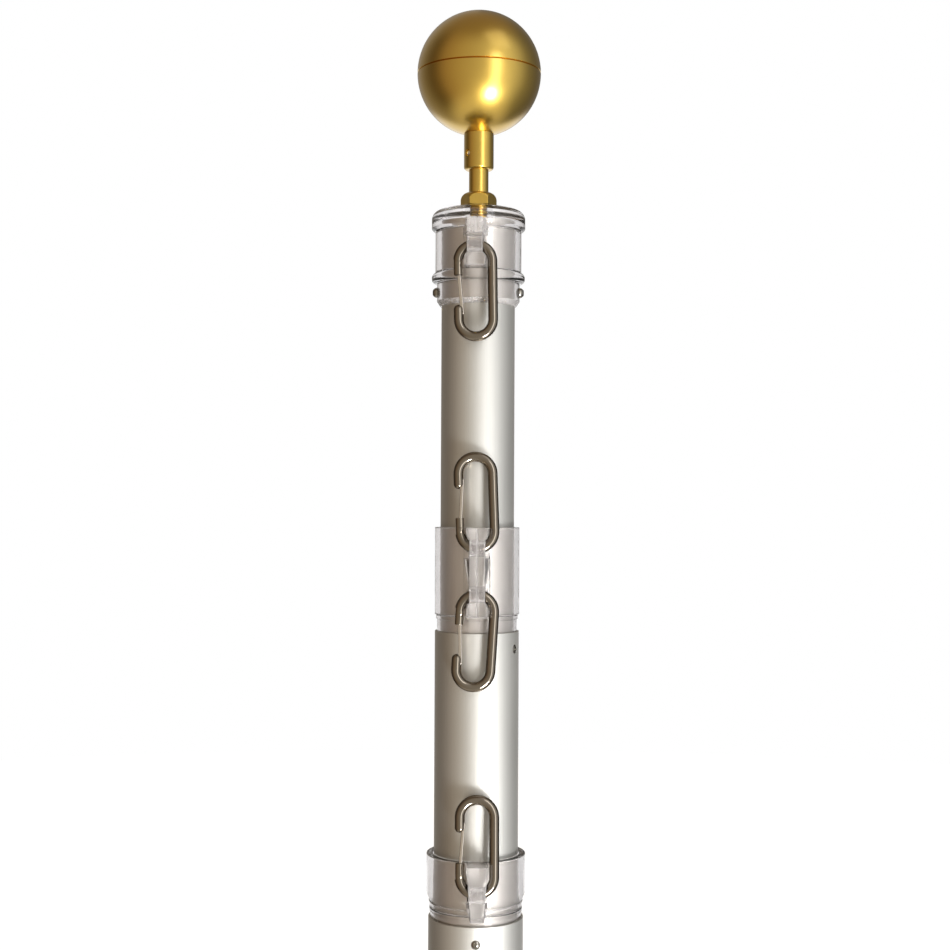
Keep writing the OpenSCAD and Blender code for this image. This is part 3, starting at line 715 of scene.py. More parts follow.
def solid(rgb):
    """An opaque colour."""
    return (*rgb, 1.0)


def clear_anodised_aluminium(tone):
    """Extruded aluminium, etched and clear-anodised: a soft grey metal with faint lines along the draw."""
    made, tree, at = new_material("etched_anodised_aluminium")
    # Draw lines are about 0.4 mm apart and run on for a quarter of a metre.
    along = add(tree, "ShaderNodeMapping", {"Vector": at, "Scale": (2500, 2500, 4)})
    lines = add(tree, "ShaderNodeTexNoise", {"Vector": along.outputs[0], "Scale": 1.0, "Detail": 2.0})
    # The etch leaves a matte grain of about 0.3 mm.
    grain = add(tree, "ShaderNodeTexNoise", {"Vector": at, "Scale": 3000.0, "Detail": 1.0})
    # Handling leaves cloudy patches of about 60 mm.
    cloud = add(tree, "ShaderNodeTexNoise", {"Vector": at, "Scale": 16.0, "Detail": 2.0})
    shade = add(
        tree, "ShaderNodeMix",
        {"Factor": lines.outputs["Fac"], 6: solid(c * 0.93 for c in tone), 7: solid(c * 1.04 for c in tone)},
        data_type="RGBA",
    )
    dull = add(
        tree, "ShaderNodeMapRange", {"Value": cloud.outputs["Fac"], "To Min": 0.54, "To Max": 0.6}
    )
    relief = add(
        tree, "ShaderNodeMath", {0: lines.outputs["Fac"], 1: grain.outputs["Fac"]}, operation="ADD"
    )
    bump = add(
        tree, "ShaderNodeBump", {"Height": relief.outputs[0], "Strength": 0.06, "Distance": 0.0001}
    )
    close_material(
        tree, Base_Color=shade.outputs[2], Metallic=1.0, Roughness=dull.outputs[0], Normal=bump.outputs[0]
    )
    return made


def gold_anodised_aluminium(tone):
    """Spun and machined aluminium, bead-blasted and gold-anodised: satin, with a thin clear seal on top."""
    made, tree, at = new_material("blasted_gold_anodising")
    # Bead blasting leaves dimples of about 0.25 mm.
    beads = add(tree, "ShaderNodeTexNoise", {"Vector": at, "Scale": 4000.0, "Detail": 1.0})
    # The dye takes unevenly over about 25 mm.
    cloud = add(tree, "ShaderNodeTexNoise", {"Vector": at, "Scale": 40.0, "Detail": 3.0})
    shade = add(
        tree, "ShaderNodeMix",
        {"Factor": cloud.outputs["Fac"], 6: solid(c * 0.92 for c in tone), 7: solid(c * 1.05 for c in tone)},
        data_type="RGBA",
    )
    dull = add(
        tree, "ShaderNodeMapRange", {"Value": cloud.outputs["Fac"], "To Min": 0.26, "To Max": 0.33}
    )
    bump = add(
        tree, "ShaderNodeBump", {"Height": beads.outputs["Fac"], "Strength": 0.05, "Distance": 0.0001}
    )
    close_material(
        tree, Base_Color=shade.outputs[2], Metallic=1.0, Roughness=dull.outputs[0], Normal=bump.outputs[0],
        Coat_Weight=1.0, Coat_Roughness=0.22,
    )
    return made


def clear_polycarbonate(tone):
    """Injection-moulded polycarbonate: clear, with weak flow marks, and frosted and lined on the ears. The
    frost attribute says how far each face is frosted."""
    made, tree, at = new_material("moulded_clear_polycarbonate")
    # Flow marks are about 6 mm across.
    flow = add(tree, "ShaderNodeTexNoise", {"Vector": at, "Scale": 160.0, "Detail": 2.0})
    clear = add(
        tree, "ShaderNodeMapRange", {"Value": flow.outputs["Fac"], "To Min": 0.03, "To Max": 0.09}
    )
    # The ears are etched in the mould, and unevenly: the etch clears and clouds over about 3 mm.
    etch = add(tree, "ShaderNodeTexNoise", {"Vector": at, "Scale": 350.0, "Detail": 2.0})
    dull = add(
        tree, "ShaderNodeMapRange", {"Value": etch.outputs["Fac"], "To Min": 0.15, "To Max": 0.6}
    )
    frost = add(tree, "ShaderNodeAttribute", attribute_name="frost").outputs["Fac"]
    rough = add(tree, "ShaderNodeMix", {"Factor": frost, 2: clear.outputs[0], 3: dull.outputs[0]})
    # Draft lines run up the ears, about 1 mm apart.
    across = add(tree, "ShaderNodeMapping", {"Vector": at, "Scale": (1000, 1000, 30)})
    lines = add(tree, "ShaderNodeTexNoise", {"Vector": across.outputs[0], "Scale": 1.0, "Detail": 2.0})
    relief = add(
        tree, "ShaderNodeMath", {0: lines.outputs["Fac"], 1: frost}, operation="MULTIPLY"
    )
    weak = add(tree, "ShaderNodeBump", {"Height": flow.outputs["Fac"], "Strength": 0.15, "Distance": 0.0003})
    bump = add(
        tree, "ShaderNodeBump",
        {"Height": relief.outputs[0], "Strength": 1.0, "Distance": 0.001, "Normal": weak.outputs[0]},
    )
    # An etched face scatters a part of the light and looks white.
    through = add(tree, "ShaderNodeMapRange", {"Value": frost, "To Min": 1.0, "To Max": 0.4})
    close_material(
        tree, Base_Color=solid(tone), Roughness=rough.outputs[0], Normal=bump.outputs[0], IOR=1.585,
        Transmission_Weight=through.outputs[0],
    )
    return made


def polished_stainless(name, tone):
    """Bent stainless wire or sheet, tumbled and polished: a warm mirror with a soft waviness, with painted
    shade along the edges where it turns away, from a near-black edge tint."""
    made, tree, at = new_material(name)
    # Tumbling leaves waves of about 4 mm and hairlines of about 0.2 mm.
    waves = add(tree, "ShaderNodeTexNoise", {"Vector": at, "Scale": 250.0, "Detail": 1.0})
    hairs = add(tree, "ShaderNodeTexNoise", {"Vector": at, "Scale": 5000.0, "Detail": 1.0})
    dull = add(
        tree, "ShaderNodeMapRange", {"Value": hairs.outputs["Fac"], "To Min": 0.04, "To Max": 0.09}
    )
    bump = add(
        tree, "ShaderNodeBump", {"Height": waves.outputs["Fac"], "Strength": 0.3, "Distance": 0.0003}
    )
    close_material(
        tree, Base_Color=solid(tone), Metallic=1.0, Roughness=dull.outputs[0], Normal=bump.outputs[0],
        # The near-black edge tint paints shade along the edges, where the metal turns away.
        Specular_Tint=(0.05, 0.04, 0.03, 1.0),
    )
    return made


def plain_steel(name, tone, dullness):
    """Cold-headed screw steel, with a fine drawn grain."""
    made, tree, at = new_material(name)
    # The grain is about 0.2 mm across.
    grain = add(tree, "ShaderNodeTexNoise", {"Vector": at, "Scale": 5000.0, "Detail": 2.0})
    dull = add(
        tree, "ShaderNodeMapRange",
        {"Value": grain.outputs["Fac"], "To Min": dullness - 0.05, "To Max": dullness + 0.05},
    )
    close_material(tree, Base_Color=solid(tone), Metallic=1.0, Roughness=dull.outputs[0])
    return made


def moulded_plastic(name, tone, dullness):
    """Moulded nylon or polyethylene: even and slightly waxy, with a fine texture."""
    made, tree, at = new_material(name)
    # The mould's texture is about 0.5 mm across.
    grain = add(tree, "ShaderNodeTexNoise", {"Vector": at, "Scale": 2000.0, "Detail": 2.0})
    dull = add(
        tree, "ShaderNodeMapRange",
        {"Value": grain.outputs["Fac"], "To Min": dullness - 0.05, "To Max": dullness + 0.05},
    )
    bump = add(
        tree, "ShaderNodeBump", {"Height": grain.outputs["Fac"], "Strength": 0.1, "Distance": 0.0002}
    )
    close_material(tree, Base_Color=solid(tone), Roughness=dull.outputs[0], Normal=bump.outputs[0], IOR=1.53)
    return made


FINISHES = {}


def finish(name):
    """One of the materials, made when it is first wanted."""
    if name not in FINISHES:
        tones = bpy.context.scene.flagpole.finishes
        FINISHES[name] = {
            "aluminium": lambda: clear_anodised_aluminium(tones.aluminium),
            "gold": lambda: gold_anodised_aluminium(tones.gold),
            "clear": lambda: clear_polycarbonate(tones.clear),
            "steel": lambda: polished_stainless("polished_stainless_wire", tones.steel),
            # Painted highlight: the gates get a much paler copy of the polished stainless.
            "gate": lambda: polished_stainless("polished_stainless_sheet", tones.gate),
            "screw": lambda: plain_steel("cold_headed_screw_steel", tones.screw, 0.12),
            # Painted glint: a near-white steel for the set screw.
            "painted_glint_steel": lambda: plain_steel("zinc_plated_steel", tones.painted_glint_steel, 0.4),
            "nylon": lambda: moulded_plastic("moulded_white_nylon", tones.nylon, 0.45),
            "polyethylene": lambda: moulded_plastic("moulded_black_polyethylene", tones.polyethylene, 0.5),
        }[name]()
    return FINISHES[name]


# ---- Tubes, bushings and screws ----


def screw_turn(section):
    """The place of a tube's screws round the pole."""
    screws = bpy.context.scene.flagpole.screws
    return {"upper": screws.upper_turn, "lower": screws.lower_turn, "base": screws.base_turn}[section]


class BuildTubes(Operator):
    """Makes the four nested tubes, with the seats of their screws"""

    bl_idname = "flagpole.tubes"
    bl_label = "Tubes"

    def execute(self, context):
        pole = context.scene.flagpole
        tree = tube_tree()
        for section in SECTIONS:
            node = f"{section}_tube"
            radius = outside(node)
            piece = grown(
                f"{section}_tube_shell", tree,
                {
                    "Radius": radius, "Wall": pole.tubes.wall, "Foot": foot(node), "Top": head(node),
                    "Rounding": pole.tubes.end_round, "Steps": pole.tubes.steps,
                    "Material": finish("aluminium"),
                },
            )
            if section != "top":
                seat = pole.screws.head / 2 + pole.bushings.seat_gap
                spot = Matrix.Translation((0, 0, head(node) - pole.screws.drop))
                lie = about_z(screw_turn(section)) @ spot @ Matrix.Rotation(pi / 2, 4, "X")
                combine(piece, "DIFFERENCE", rod(seat, -2 * radius, 2 * radius), lie)
            smooth(piece)
            place(piece, BODIES[section], "anodised_tube", finish("aluminium"), node)
        return {"FINISHED"}


class BuildBushings(Operator):
    """Makes the clear bushings in the mouths of the three outer tubes"""

    bl_idname = "flagpole.bushings"
    bl_label = "Bushings"

    def execute(self, context):
        pole = context.scene.flagpole
        wall, fit = pole.tubes.wall, pole.bushings
        for section in SECTIONS[1:]:
            node = f"{section}_bushing"
            radius = outside(f"{section}_tube")
            rim = head(f"{section}_tube")
            lip_foot = head(node) - fit.lip_height
            bore = radius - wall - pole.tubes.gap + fit.slide_gap
            sleeve = radius - wall - fit.seat_gap
            neck = radius - fit.neck_inset
            lip = outside(node)
            ease = fit.edge_round
            outline = eased(
                [
                    (bore, foot(node), ease), (sleeve, foot(node), ease), (sleeve, rim, 0), (neck, rim, 0),
                    (neck, lip_foot, ease / 2), (lip, lip_foot, ease), (lip, head(node), ease),
                    (bore, head(node), ease),
                ]
            )
            piece = new_object(f"{section}_bushing_moulding", turned(outline, pole.tubes.steps))
            smooth(piece)
            place(piece, BODIES[section], "clear_polycarbonate", finish("clear"), node)
        return {"FINISHED"}


def domed_head(width, rise, shank, reach, socket, steps=40):
    """A domed screw head with a hexagon socket, its seat at the origin, standing along Z on its shank."""
    dome = ((width / 2) ** 2 + rise**2) / (2 * rise)
    rim = asin(width / 2 / dome)
    crown = arc(0, rise - dome, dome, pi / 2 - rim, pi / 2, 8)
    side = [(shank / 2, -reach), (shank / 2, 0), (width / 2, 0)]
    mesh = turned([(0, -reach), *side, *crown[:-1], (0, rise)], steps, closed=False)
    piece = new_object("screw_head", mesh)
    combine(piece, "DIFFERENCE", extruded(hexagon(socket / sqrt(3)), rise / 10, 2 * rise))
    return piece


class BuildScrews(Operator):
    """Makes the screws that hold the bushings and the top collar"""

    bl_idname = "flagpole.screws"
    bl_label = "Screws"

    def execute(self, context):
        pole = context.scene.flagpole
        screws = pole.screws
        tree = stud_tree()
        for section in SECTIONS[1:]:
            radius = outside(f"{section}_tube")
            crown = radius - screws.sink if section == "base" else radius + screws.stand_out
            seat = crown - screws.rise
            inside = seat - (radius - pole.tubes.wall - pole.tubes.gap) - screws.tip_gap
            stud = domed_head(screws.head, screws.rise, screws.shank, inside, screws.socket)
            self.stand(tree, stud, seat, screw_turn(section), f"{section}_screws", BODIES[section])
        seat = outside("collar_screws") - screws.collar_rise
        inside = seat - outside("top_tube") + pole.tubes.wall
        stud = domed_head(
            screws.collar_head, screws.collar_rise, screws.shank, inside, screws.collar_socket
        )
        self.stand(tree, stud, seat, pi / 2, "collar_screws", BODIES["top"])
        return {"FINISHED"}

    def stand(self, tree, stud, seat, angle, node, body):
        """Sets two of a screw round the pole, their seats this far from its axis."""
        height = (foot(node) + head(node)) / 2
        values = {"Radius": seat, "Height": height, "Turn": angle, "Material": finish("screw")}
        piece = grown(node.replace("screws", "screw_pair"), tree, values, stud.data)
        bpy.data.objects.remove(stud)
        smooth(piece, bpy.context.scene.flagpole.screws.edge_round, segments=2)
        place(piece, body, "stainless_screw", finish("screw"), node)


# ---- Rings ----


def add_ear(piece, turn_by, reach, profile):
    """Unites an ear with a ring, from (height, half width) points up its front."""
    outline = [(half, z) for z, half in profile] + [(-half, z) for z, half in reversed(profile)]
    lie = about_z(turn_by) @ Matrix.Rotation(pi / 2, 4, "X")
    combine(piece, "UNION", extruded(outline, 0, reach), lie)


def add_shoulders(piece, turn_by, radius, levels):
    """Unites an ear's shoulders with a ring, from (height, half width) levels."""
    rings = bpy.context.scene.flagpole.rings
    tip, out = rings.ear_width / 2, radius + rings.shoulder_out
    sections = []
    for z, half in levels:
        outline = [(-half, 0), (-half, -radius), (-tip, -out), (tip, -out), (half, -radius), (half, 0)]
        sections.append((outline, z))
    combine(piece, "UNION", lofted(sections), about_z(turn_by))


def cut_hole(piece, clip):
    """Cuts the hole that a clip hangs in, with its flared mouths."""
    rings = bpy.context.scene.flagpole.rings
    spot = Vector(joint(f"clip_{clip}_swing")["pos_m"])
    straight, flare = rings.hole / 2, rings.hole / 2 + rings.mouth_flare
    start, end = rings.mouth_start, rings.mouth_start + rings.mouth_flare
    far = rings.shoulder_width
    outline = [
        (0, -far), (flare, -far), (flare, -end), (straight, -start), (straight, start), (flare, end),
        (flare, far), (0, far),
    ]
    lie = Matrix.Translation(spot) @ about_z(ring_turn(clip)) @ Matrix.Rotation(pi / 2, 4, "Y")
    combine(piece, "DIFFERENCE", turned(outline, 48, closed=False), lie)


class BuildRings(Operator):
    """Makes the three clear flag rings with their ears"""

    bl_idname = "flagpole.rings"
    bl_label = "Flag rings"

    def execute(self, context):
        pole = context.scene.flagpole
        self.rings, self.steps = pole.rings, pole.tubes.steps
        self.top_ring()
        self.middle_ring()
        self.lower_ring()
        return {"FINISHED"}

    def blank(self, node, outline):
        """A solid disc with the ring's outside shape."""
        return new_object(f"{node}_moulding", turned(outline, self.steps, closed=False))

    def bore(self, piece, node, tube):
        """Cuts the bore that turns round the tube."""
        cut = rod(outside(tube) + self.rings.play, foot(node) - MM, head(node) + MM, self.steps)
        combine(piece, "DIFFERENCE", cut)

    def close(self, piece, node, body, frost, level=0):
        """Rounds a ring's edges and frosts its ear, by one share below this level and another above it."""
        # The bevel puts its own faces in the second slot, which tells the edges from the rest.
        for _ in range(2):
            piece.data.materials.append(finish("clear"))
        smooth(piece, self.rings.edge_round)
        data = piece.data
        radius, shares = outside(node), []
        for face in data.polygons:
            share = frost[face.center.z > level] if face.center.xy.length > radius else 0
            shares.append(max(share, self.rings.edge_frost * face.material_index))
        data.attributes.new("frost", "FLOAT", "FACE").data.foreach_set("value", shares)
        data.polygons.foreach_set("material_index", [0] * len(shares))
        place(piece, body, "clear_polycarbonate", finish("clear"), node)

    def top_ring(self):
        """The top ring, whose ear rises in a frosted block beside the cap."""
        node, rings = "top_ring", self.rings
        radius = outside(node)
        turn_by = ring_turn(1)
        low, high = foot(node), head(node)
        ring_head = head("top_cap") - bpy.context.scene.flagpole.cap.height - rings.cap_gap
        piece = self.blank(node, [(0, low), (radius, low), (radius, ring_head), (0, ring_head)])
        hole = joint("clip_1_swing")["pos_m"][2]
        narrow, wide, root = rings.ear_width / 2, rings.wide_width / 2, rings.shoulder_width / 2
        flare = [(low, wide), (hole - rings.flare_end, wide), (hole - rings.flare_start, narrow)]
        block = hole + rings.hole / 2 + rings.shoulder_gap
        add_ear(piece, turn_by, self.ear_reach(1) - rings.pad, [*flare, (block + MM, narrow)])
        add_ear(piece, turn_by, self.ear_reach(1), [(block, narrow), (high, narrow)])
        add_shoulders(piece, turn_by, radius, [(block, root * rings.block_taper), (high, root)])
        self.bore(piece, node, "top_tube")
        cut_hole(piece, 1)
        clearance = outside("top_cap") + rings.cap_gap
        combine(piece, "DIFFERENCE", rod(clearance, ring_head, high + MM, self.steps))
        self.close(piece, node, "top_swivel", (rings.ear_frost, rings.block_frost), block)

    def middle_ring(self):
        """The middle ring, whose ear carries a clip at each end of a narrow waist."""
        node, rings = "middle_ring", self.rings
        radius = outside(node)
        low, high = foot(node), head(node)
        piece = self.blank(node, [(0, low), (radius, low), (radius, high), (0, high)])
        upper, lower = joint("clip_2_swing")["pos_m"][2], joint("clip_3_swing")["pos_m"][2]
        narrow, wide, root = rings.ear_width / 2, rings.wide_width / 2, rings.shoulder_width / 2
        below = [(low, wide), (lower - rings.flare_end, wide), (lower - rings.flare_start, narrow)]
        above = [(upper + rings.flare_start, narrow), (upper + rings.flare_end, wide), (high, wide)]
        add_ear(piece, 0, self.ear_reach(2), below + above)
        neck = rings.hole / 2 + rings.shoulder_gap
        waist = [(lower + neck, narrow * rings.waist_taper), (upper - neck, root)]
        add_shoulders(piece, 0, radius, waist)
        self.bore(piece, node, "top_tube")
        cut_hole(piece, 2)
        cut_hole(piece, 3)
        front, groove = -self.ear_reach(2), rings.groove
        line = [(-groove / 2, front - MM), (groove / 2, front - MM), (groove / 2, front)]
        line += [(0, front + groove), (-groove / 2, front)]
        combine(piece, "DIFFERENCE", extruded(line, low - MM, high + MM))
        self.close(piece, node, "middle_swivel", (rings.ear_frost, rings.ear_frost))

    def lower_ring(self):
        """The lower ring, with a bevel and a narrow skirt at its foot and a tapered ear."""
        node, rings = "lower_ring", self.rings
        radius = outside(node)
        low, high = foot(node), head(node)
        skirt, step = outside("lower_bushing"), low + rings.skirt_height
        bevel = [(radius - rings.bevel_width, step), (radius, step + rings.bevel_height)]
        piece = self.blank(node, [(0, low), (skirt, low), (skirt, step), *bevel, (radius, high), (0, high)])
        profile = [(low, rings.narrow_width / 2), (high, rings.wide_width / 2)]
        add_ear(piece, ring_turn(4), self.ear_reach(4), profile)
        hole = joint("clip_4_swing")["pos_m"][2] - rings.hole / 2
        foot_ear = [(low, rings.narrow_width / 2), (hole - rings.shoulder_gap, rings.wide_width / 2)]
        add_ear(piece, ring_turn(4), self.ear_reach(4) - rings.pad, foot_ear)
        self.bore(piece, node, "upper_tube")
        cut_hole(piece, 4)
        self.close(piece, node, "lower_swivel", (rings.lower_frost, rings.lower_frost))

    def ear_reach(self, clip):
        """How far the ear of this clip stands from the pole's axis."""
        node = {1: "top_ring", 2: "middle_ring", 4: "lower_ring"}[clip]
        half = (self.rings.wide_width if clip == 4 else self.rings.ear_width) / 2
        angle = abs(ring_turn(clip))
        return (-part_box(node)[0].y - half * sin(angle)) / cos(angle)


# ---- Clips ----


def wire_bend(sizes):
    """The radius of a clip's bends, to the middle of its wire."""
    return (sizes.width - sizes.wire) / 2


def clip_place(clip):
    """The matrix from a clip's own frame, hanging with its eye's middle at the origin, to its place."""
    sizes = bpy.context.scene.flagpole.clips
    bend = wire_bend(sizes)
    tilt = Matrix.Rotation(getattr(sizes, f"tilt_{clip}"), 4, "Y")
    spot = Matrix.Translation(Vector(joint(f"clip_{clip}_swing")["pos_m"])) @ about_z(ring_turn(clip))
    if clip in RAISED_CLIPS:
        lean = Matrix.Rotation(-sizes.lean, 4, "X")
        flip = Matrix.Diagonal((1, 1, -1, 1))
        return spot @ lean @ Matrix.Translation((0, 0, bend)) @ tilt @ flip
    return spot @ Matrix.Translation((0, 0, -bend)) @ tilt


def wire_path(sizes):
    """The wire's middle line as (x, z, girth) points, from the hinge stub round to the rounded nose."""
    bend = wire_bend(sizes)
    leg = sizes.length - sizes.width
    thick = sizes.wire / 2
    line = [(-bend, -sizes.hinge_stub)]
    line += arc(0, 0, bend, pi, 0, 28)
    line += arc(0, -leg, bend, 0, -pi, 28)
    dome = -leg + sizes.nose_stub - thick
    path = [(x, z, 1.0) for x, z in line]
    for k in range(NOSE_STEPS + 1):
        angle = pi / 2 * k / NOSE_STEPS
        path.append((-bend, dome + thick * sin(angle), max(cos(angle), NOSE_TIP)))
    return path


class BuildClips(Operator):
    """Makes the four snap clips: bent hooks, sprung gates and rivets"""

    bl_idname = "flagpole.clips"
    bl_label = "Snap clips"

    def execute(self, context):
        sizes = context.scene.flagpole.clips
        tree = wire_tree()
        for clip in CLIPS:
            matrix = clip_place(clip)
            self.hook(sizes, tree, clip, matrix)
            self.gate(sizes, clip, matrix)
            self.rivet(sizes, clip, matrix)
        return {"FINISHED"}

    def hook(self, sizes, tree, clip, matrix):
        """The bent wire, with its fork for the gate and the slot in its nose."""
        path = wire_path(sizes)
        data = bpy.data.meshes.new("wire_path")
        edges = [(i, i + 1) for i in range(len(path) - 1)]
        data.from_pydata([(x, 0, z) for x, z, _ in path], edges, [])
        girth = data.attributes.new("girth", "FLOAT", "POINT")
        girth.data.foreach_set("value", [g for _, _, g in path])
        values = {"Wire": sizes.wire, "Steps": sizes.steps, "Material": finish("steel")}
        piece = grown(f"clip_{clip}_wire", tree, values, data)
        bend = wire_bend(sizes)
        leg = sizes.length - sizes.width
        nose = -leg + sizes.nose_stub
        drop = -nose + sizes.gate_lap - sizes.rivet_in
        slot = sizes.gate_thick / 2 + sizes.gate_gap
        fork_top = sizes.gate_eye / 2 + sizes.gate_gap - sizes.rivet_in
        inset = sizes.gate_inset * (nose + sizes.rivet_in) / drop
        side = -bend - inset - sizes.gate_width / 2 - sizes.gate_gap
        self.slot(piece, -bend - sizes.wire, -bend + sizes.wire, slot, -sizes.hinge_stub - MM, fork_top)
        self.slot(piece, side, side + sizes.wire, slot, nose - sizes.gate_lap - MM, nose + MM)
        piece.data.transform(matrix)
        if matrix.determinant() < 0:
            piece.data.flip_normals()
        smooth(piece, sizes.slot_round, limit=40, segments=2)
        place(piece, f"clip_{clip}", "polished_stainless", finish("steel"), f"clip_{clip}_hook")

    def slot(self, piece, left, right, half, low, high):
        """Cuts a slot through the wire, half as wide as given on each side of its middle."""
        outline = [(left, -half), (right, -half), (right, half), (left, half)]
        combine(piece, "DIFFERENCE", extruded(outline, low, high))

    def gate(self, sizes, clip, matrix):
        """The gate: a flat bar with an eye at the rivet and a rounded tip."""
        bend = wire_bend(sizes)
        leg = sizes.length - sizes.width
        drop = leg - sizes.nose_stub + sizes.gate_lap - sizes.rivet_in
        slant = asin(sizes.gate_inset / drop)
        eye, half = sizes.gate_eye / 2, sizes.gate_width / 2
        neck = asin(half / eye)
        outline = arc(0, 0, eye, neck - pi / 2, 3 * pi / 2 - neck, 24)
        outline += arc(0, -drop, half, pi, 2 * pi, 8)
        mesh = extruded(outline, -sizes.gate_thick / 2, sizes.gate_thick / 2)
        lie = Matrix.Translation((-bend, 0, -sizes.rivet_in)) @ Matrix.Rotation(-slant, 4, "Y")
        lie = lie @ Matrix.Rotation(pi / 2, 4, "X")
        piece = new_object(f"clip_{clip}_gate_bar", mesh, matrix @ lie)
        hole = rod(sizes.rivet / 2 + sizes.rivet_gap, -sizes.wire, sizes.wire, 24)
        combine(piece, "DIFFERENCE", hole, matrix @ lie)
        smooth(piece, sizes.gate_round, limit=40)
        place(piece, f"gate_{clip}", "polished_stainless", finish("gate"), f"clip_{clip}_gate")

    def rivet(self, sizes, clip, matrix):
        """The rivet: a shank with a low domed head on each side."""
        bend = wire_bend(sizes)
        wide, thin = sizes.rivet_head / 2, sizes.rivet / 2
        side = sizes.wire / 2
        under = side - sizes.rivet_sink
        dome = (wide**2 + sizes.rivet_rise**2) / (2 * sizes.rivet_rise)
        rim = asin(wide / dome)
        crown = arc(0, side + sizes.rivet_rise - dome, dome, pi / 2 - rim, pi / 2, 6)[:-1]
        half = [(thin, 0), (thin, under), (wide, under), *crown, (0, side + sizes.rivet_rise)]
        outline = [(r, -z) for r, z in reversed(half[1:])] + half[1:]
        lie = Matrix.Translation((-bend, 0, -sizes.rivet_in)) @ Matrix.Rotation(pi / 2, 4, "X")
        piece = new_object(f"clip_{clip}_rivet_heads", turned(outline, 32, closed=False), matrix @ lie)
        smooth(piece)
        place(piece, f"clip_{clip}", "polished_stainless", finish("steel"), f"clip_{clip}_rivet")


# ---- Collar and cap ----


class BuildCollar(Operator):
    """Makes the clear top collar with its flange"""

    bl_idname = "flagpole.collar"
    bl_label = "Top collar"

    def execute(self, context):
        pole = context.scene.flagpole
        sizes, seat = pole.collar, pole.bushings.seat_gap
        node = "top_collar"
        bore, body = outside("top_tube") + seat, sizes.body / 2
        low, high = foot(node), head(node)
        shelf = low + sizes.bevel_height + sizes.body_height
        flange, rounding = outside(node), sizes.flange_round
        ease = pole.bushings.edge_round
        outline = eased(
            [
                (bore, low, 0), (body - sizes.bevel_width, low, ease), (body, low + sizes.bevel_height, ease),
                (body, shelf, ease), (flange, shelf, rounding), (flange, high, rounding), (bore, high, 0),
            ],
            8,
        )
        piece = new_object("top_collar_moulding", turned(outline, pole.tubes.steps))
        reach = outside("collar_screws")
        width = pole.screws.collar_head / 2 + seat
        flat = sqrt(body**2 - (pole.screws.collar_head / 2) ** 2) - seat
        middle = (foot("collar_screws") + head("collar_screws")) / 2
        for side in (-1, 1):
            lie = Matrix.Translation((0, 0, middle)) @ Matrix.Rotation(side * pi / 2, 4, "Y")
            combine(piece, "DIFFERENCE", rod(width, flat, reach), lie)
        smooth(piece)
        bevel = low + sizes.bevel_height + ease
        shares = [sizes.bevel_frost * (face.center.z < bevel) for face in piece.data.polygons]
        piece.data.attributes.new("frost", "FLOAT", "FACE").data.foreach_set("value", shares)
        place(piece, "top_section", "clear_polycarbonate", finish("clear"), node)
        return {"FINISHED"}


class BuildCap(Operator):
    """Makes the clear cap that carries the finial"""

    bl_idname = "flagpole.cap"
    bl_label = "Cap"

    def execute(self, context):
        pole = context.scene.flagpole
        sizes, seat = pole.cap, pole.bushings.seat_gap
        node = "top_cap"
        low, high = foot(node), head(node)
        rim, rounding = outside(node), sizes.rounding
        skirt = high - sizes.height
        bore = pole.finial.shank / 2 + seat
        plug = outside("top_tube") - pole.tubes.wall - seat
        hollow = plug - sizes.plug_wall
        roof = high - sizes.roof
        tube = outside("top_tube") + seat
        middle = rim - rounding
        shoulder = middle + rounding * sin(sizes.slope)
        crown = high - (shoulder - sizes.flat / 2) * tan(sizes.slope)
        centre = crown - rounding * cos(sizes.slope)
        boss = sizes.boss / 2
        outline = eased([(bore, low, 0), (boss, low, sizes.edge_round), (boss, roof, 0), (hollow, roof, 0)])
        outline += [(hollow, low), (plug, low), (plug, skirt + sizes.skirt), (tube, skirt + sizes.skirt)]
        outline += [(tube, skirt), (rim - sizes.edge, skirt), (rim, skirt + sizes.edge)]
        outline += arc(middle, centre, rounding, 0, pi / 2 - sizes.slope, 12)
        outline += [(sizes.flat / 2, high), (bore, high)]
        piece = new_object("top_cap_moulding", turned(outline, pole.tubes.steps))
        smooth(piece, sizes.edge_round, limit=30)
        place(piece, "top_section", "clear_polycarbonate", finish("clear"), node)
        return {"FINISHED"}


# ---- Finial ----


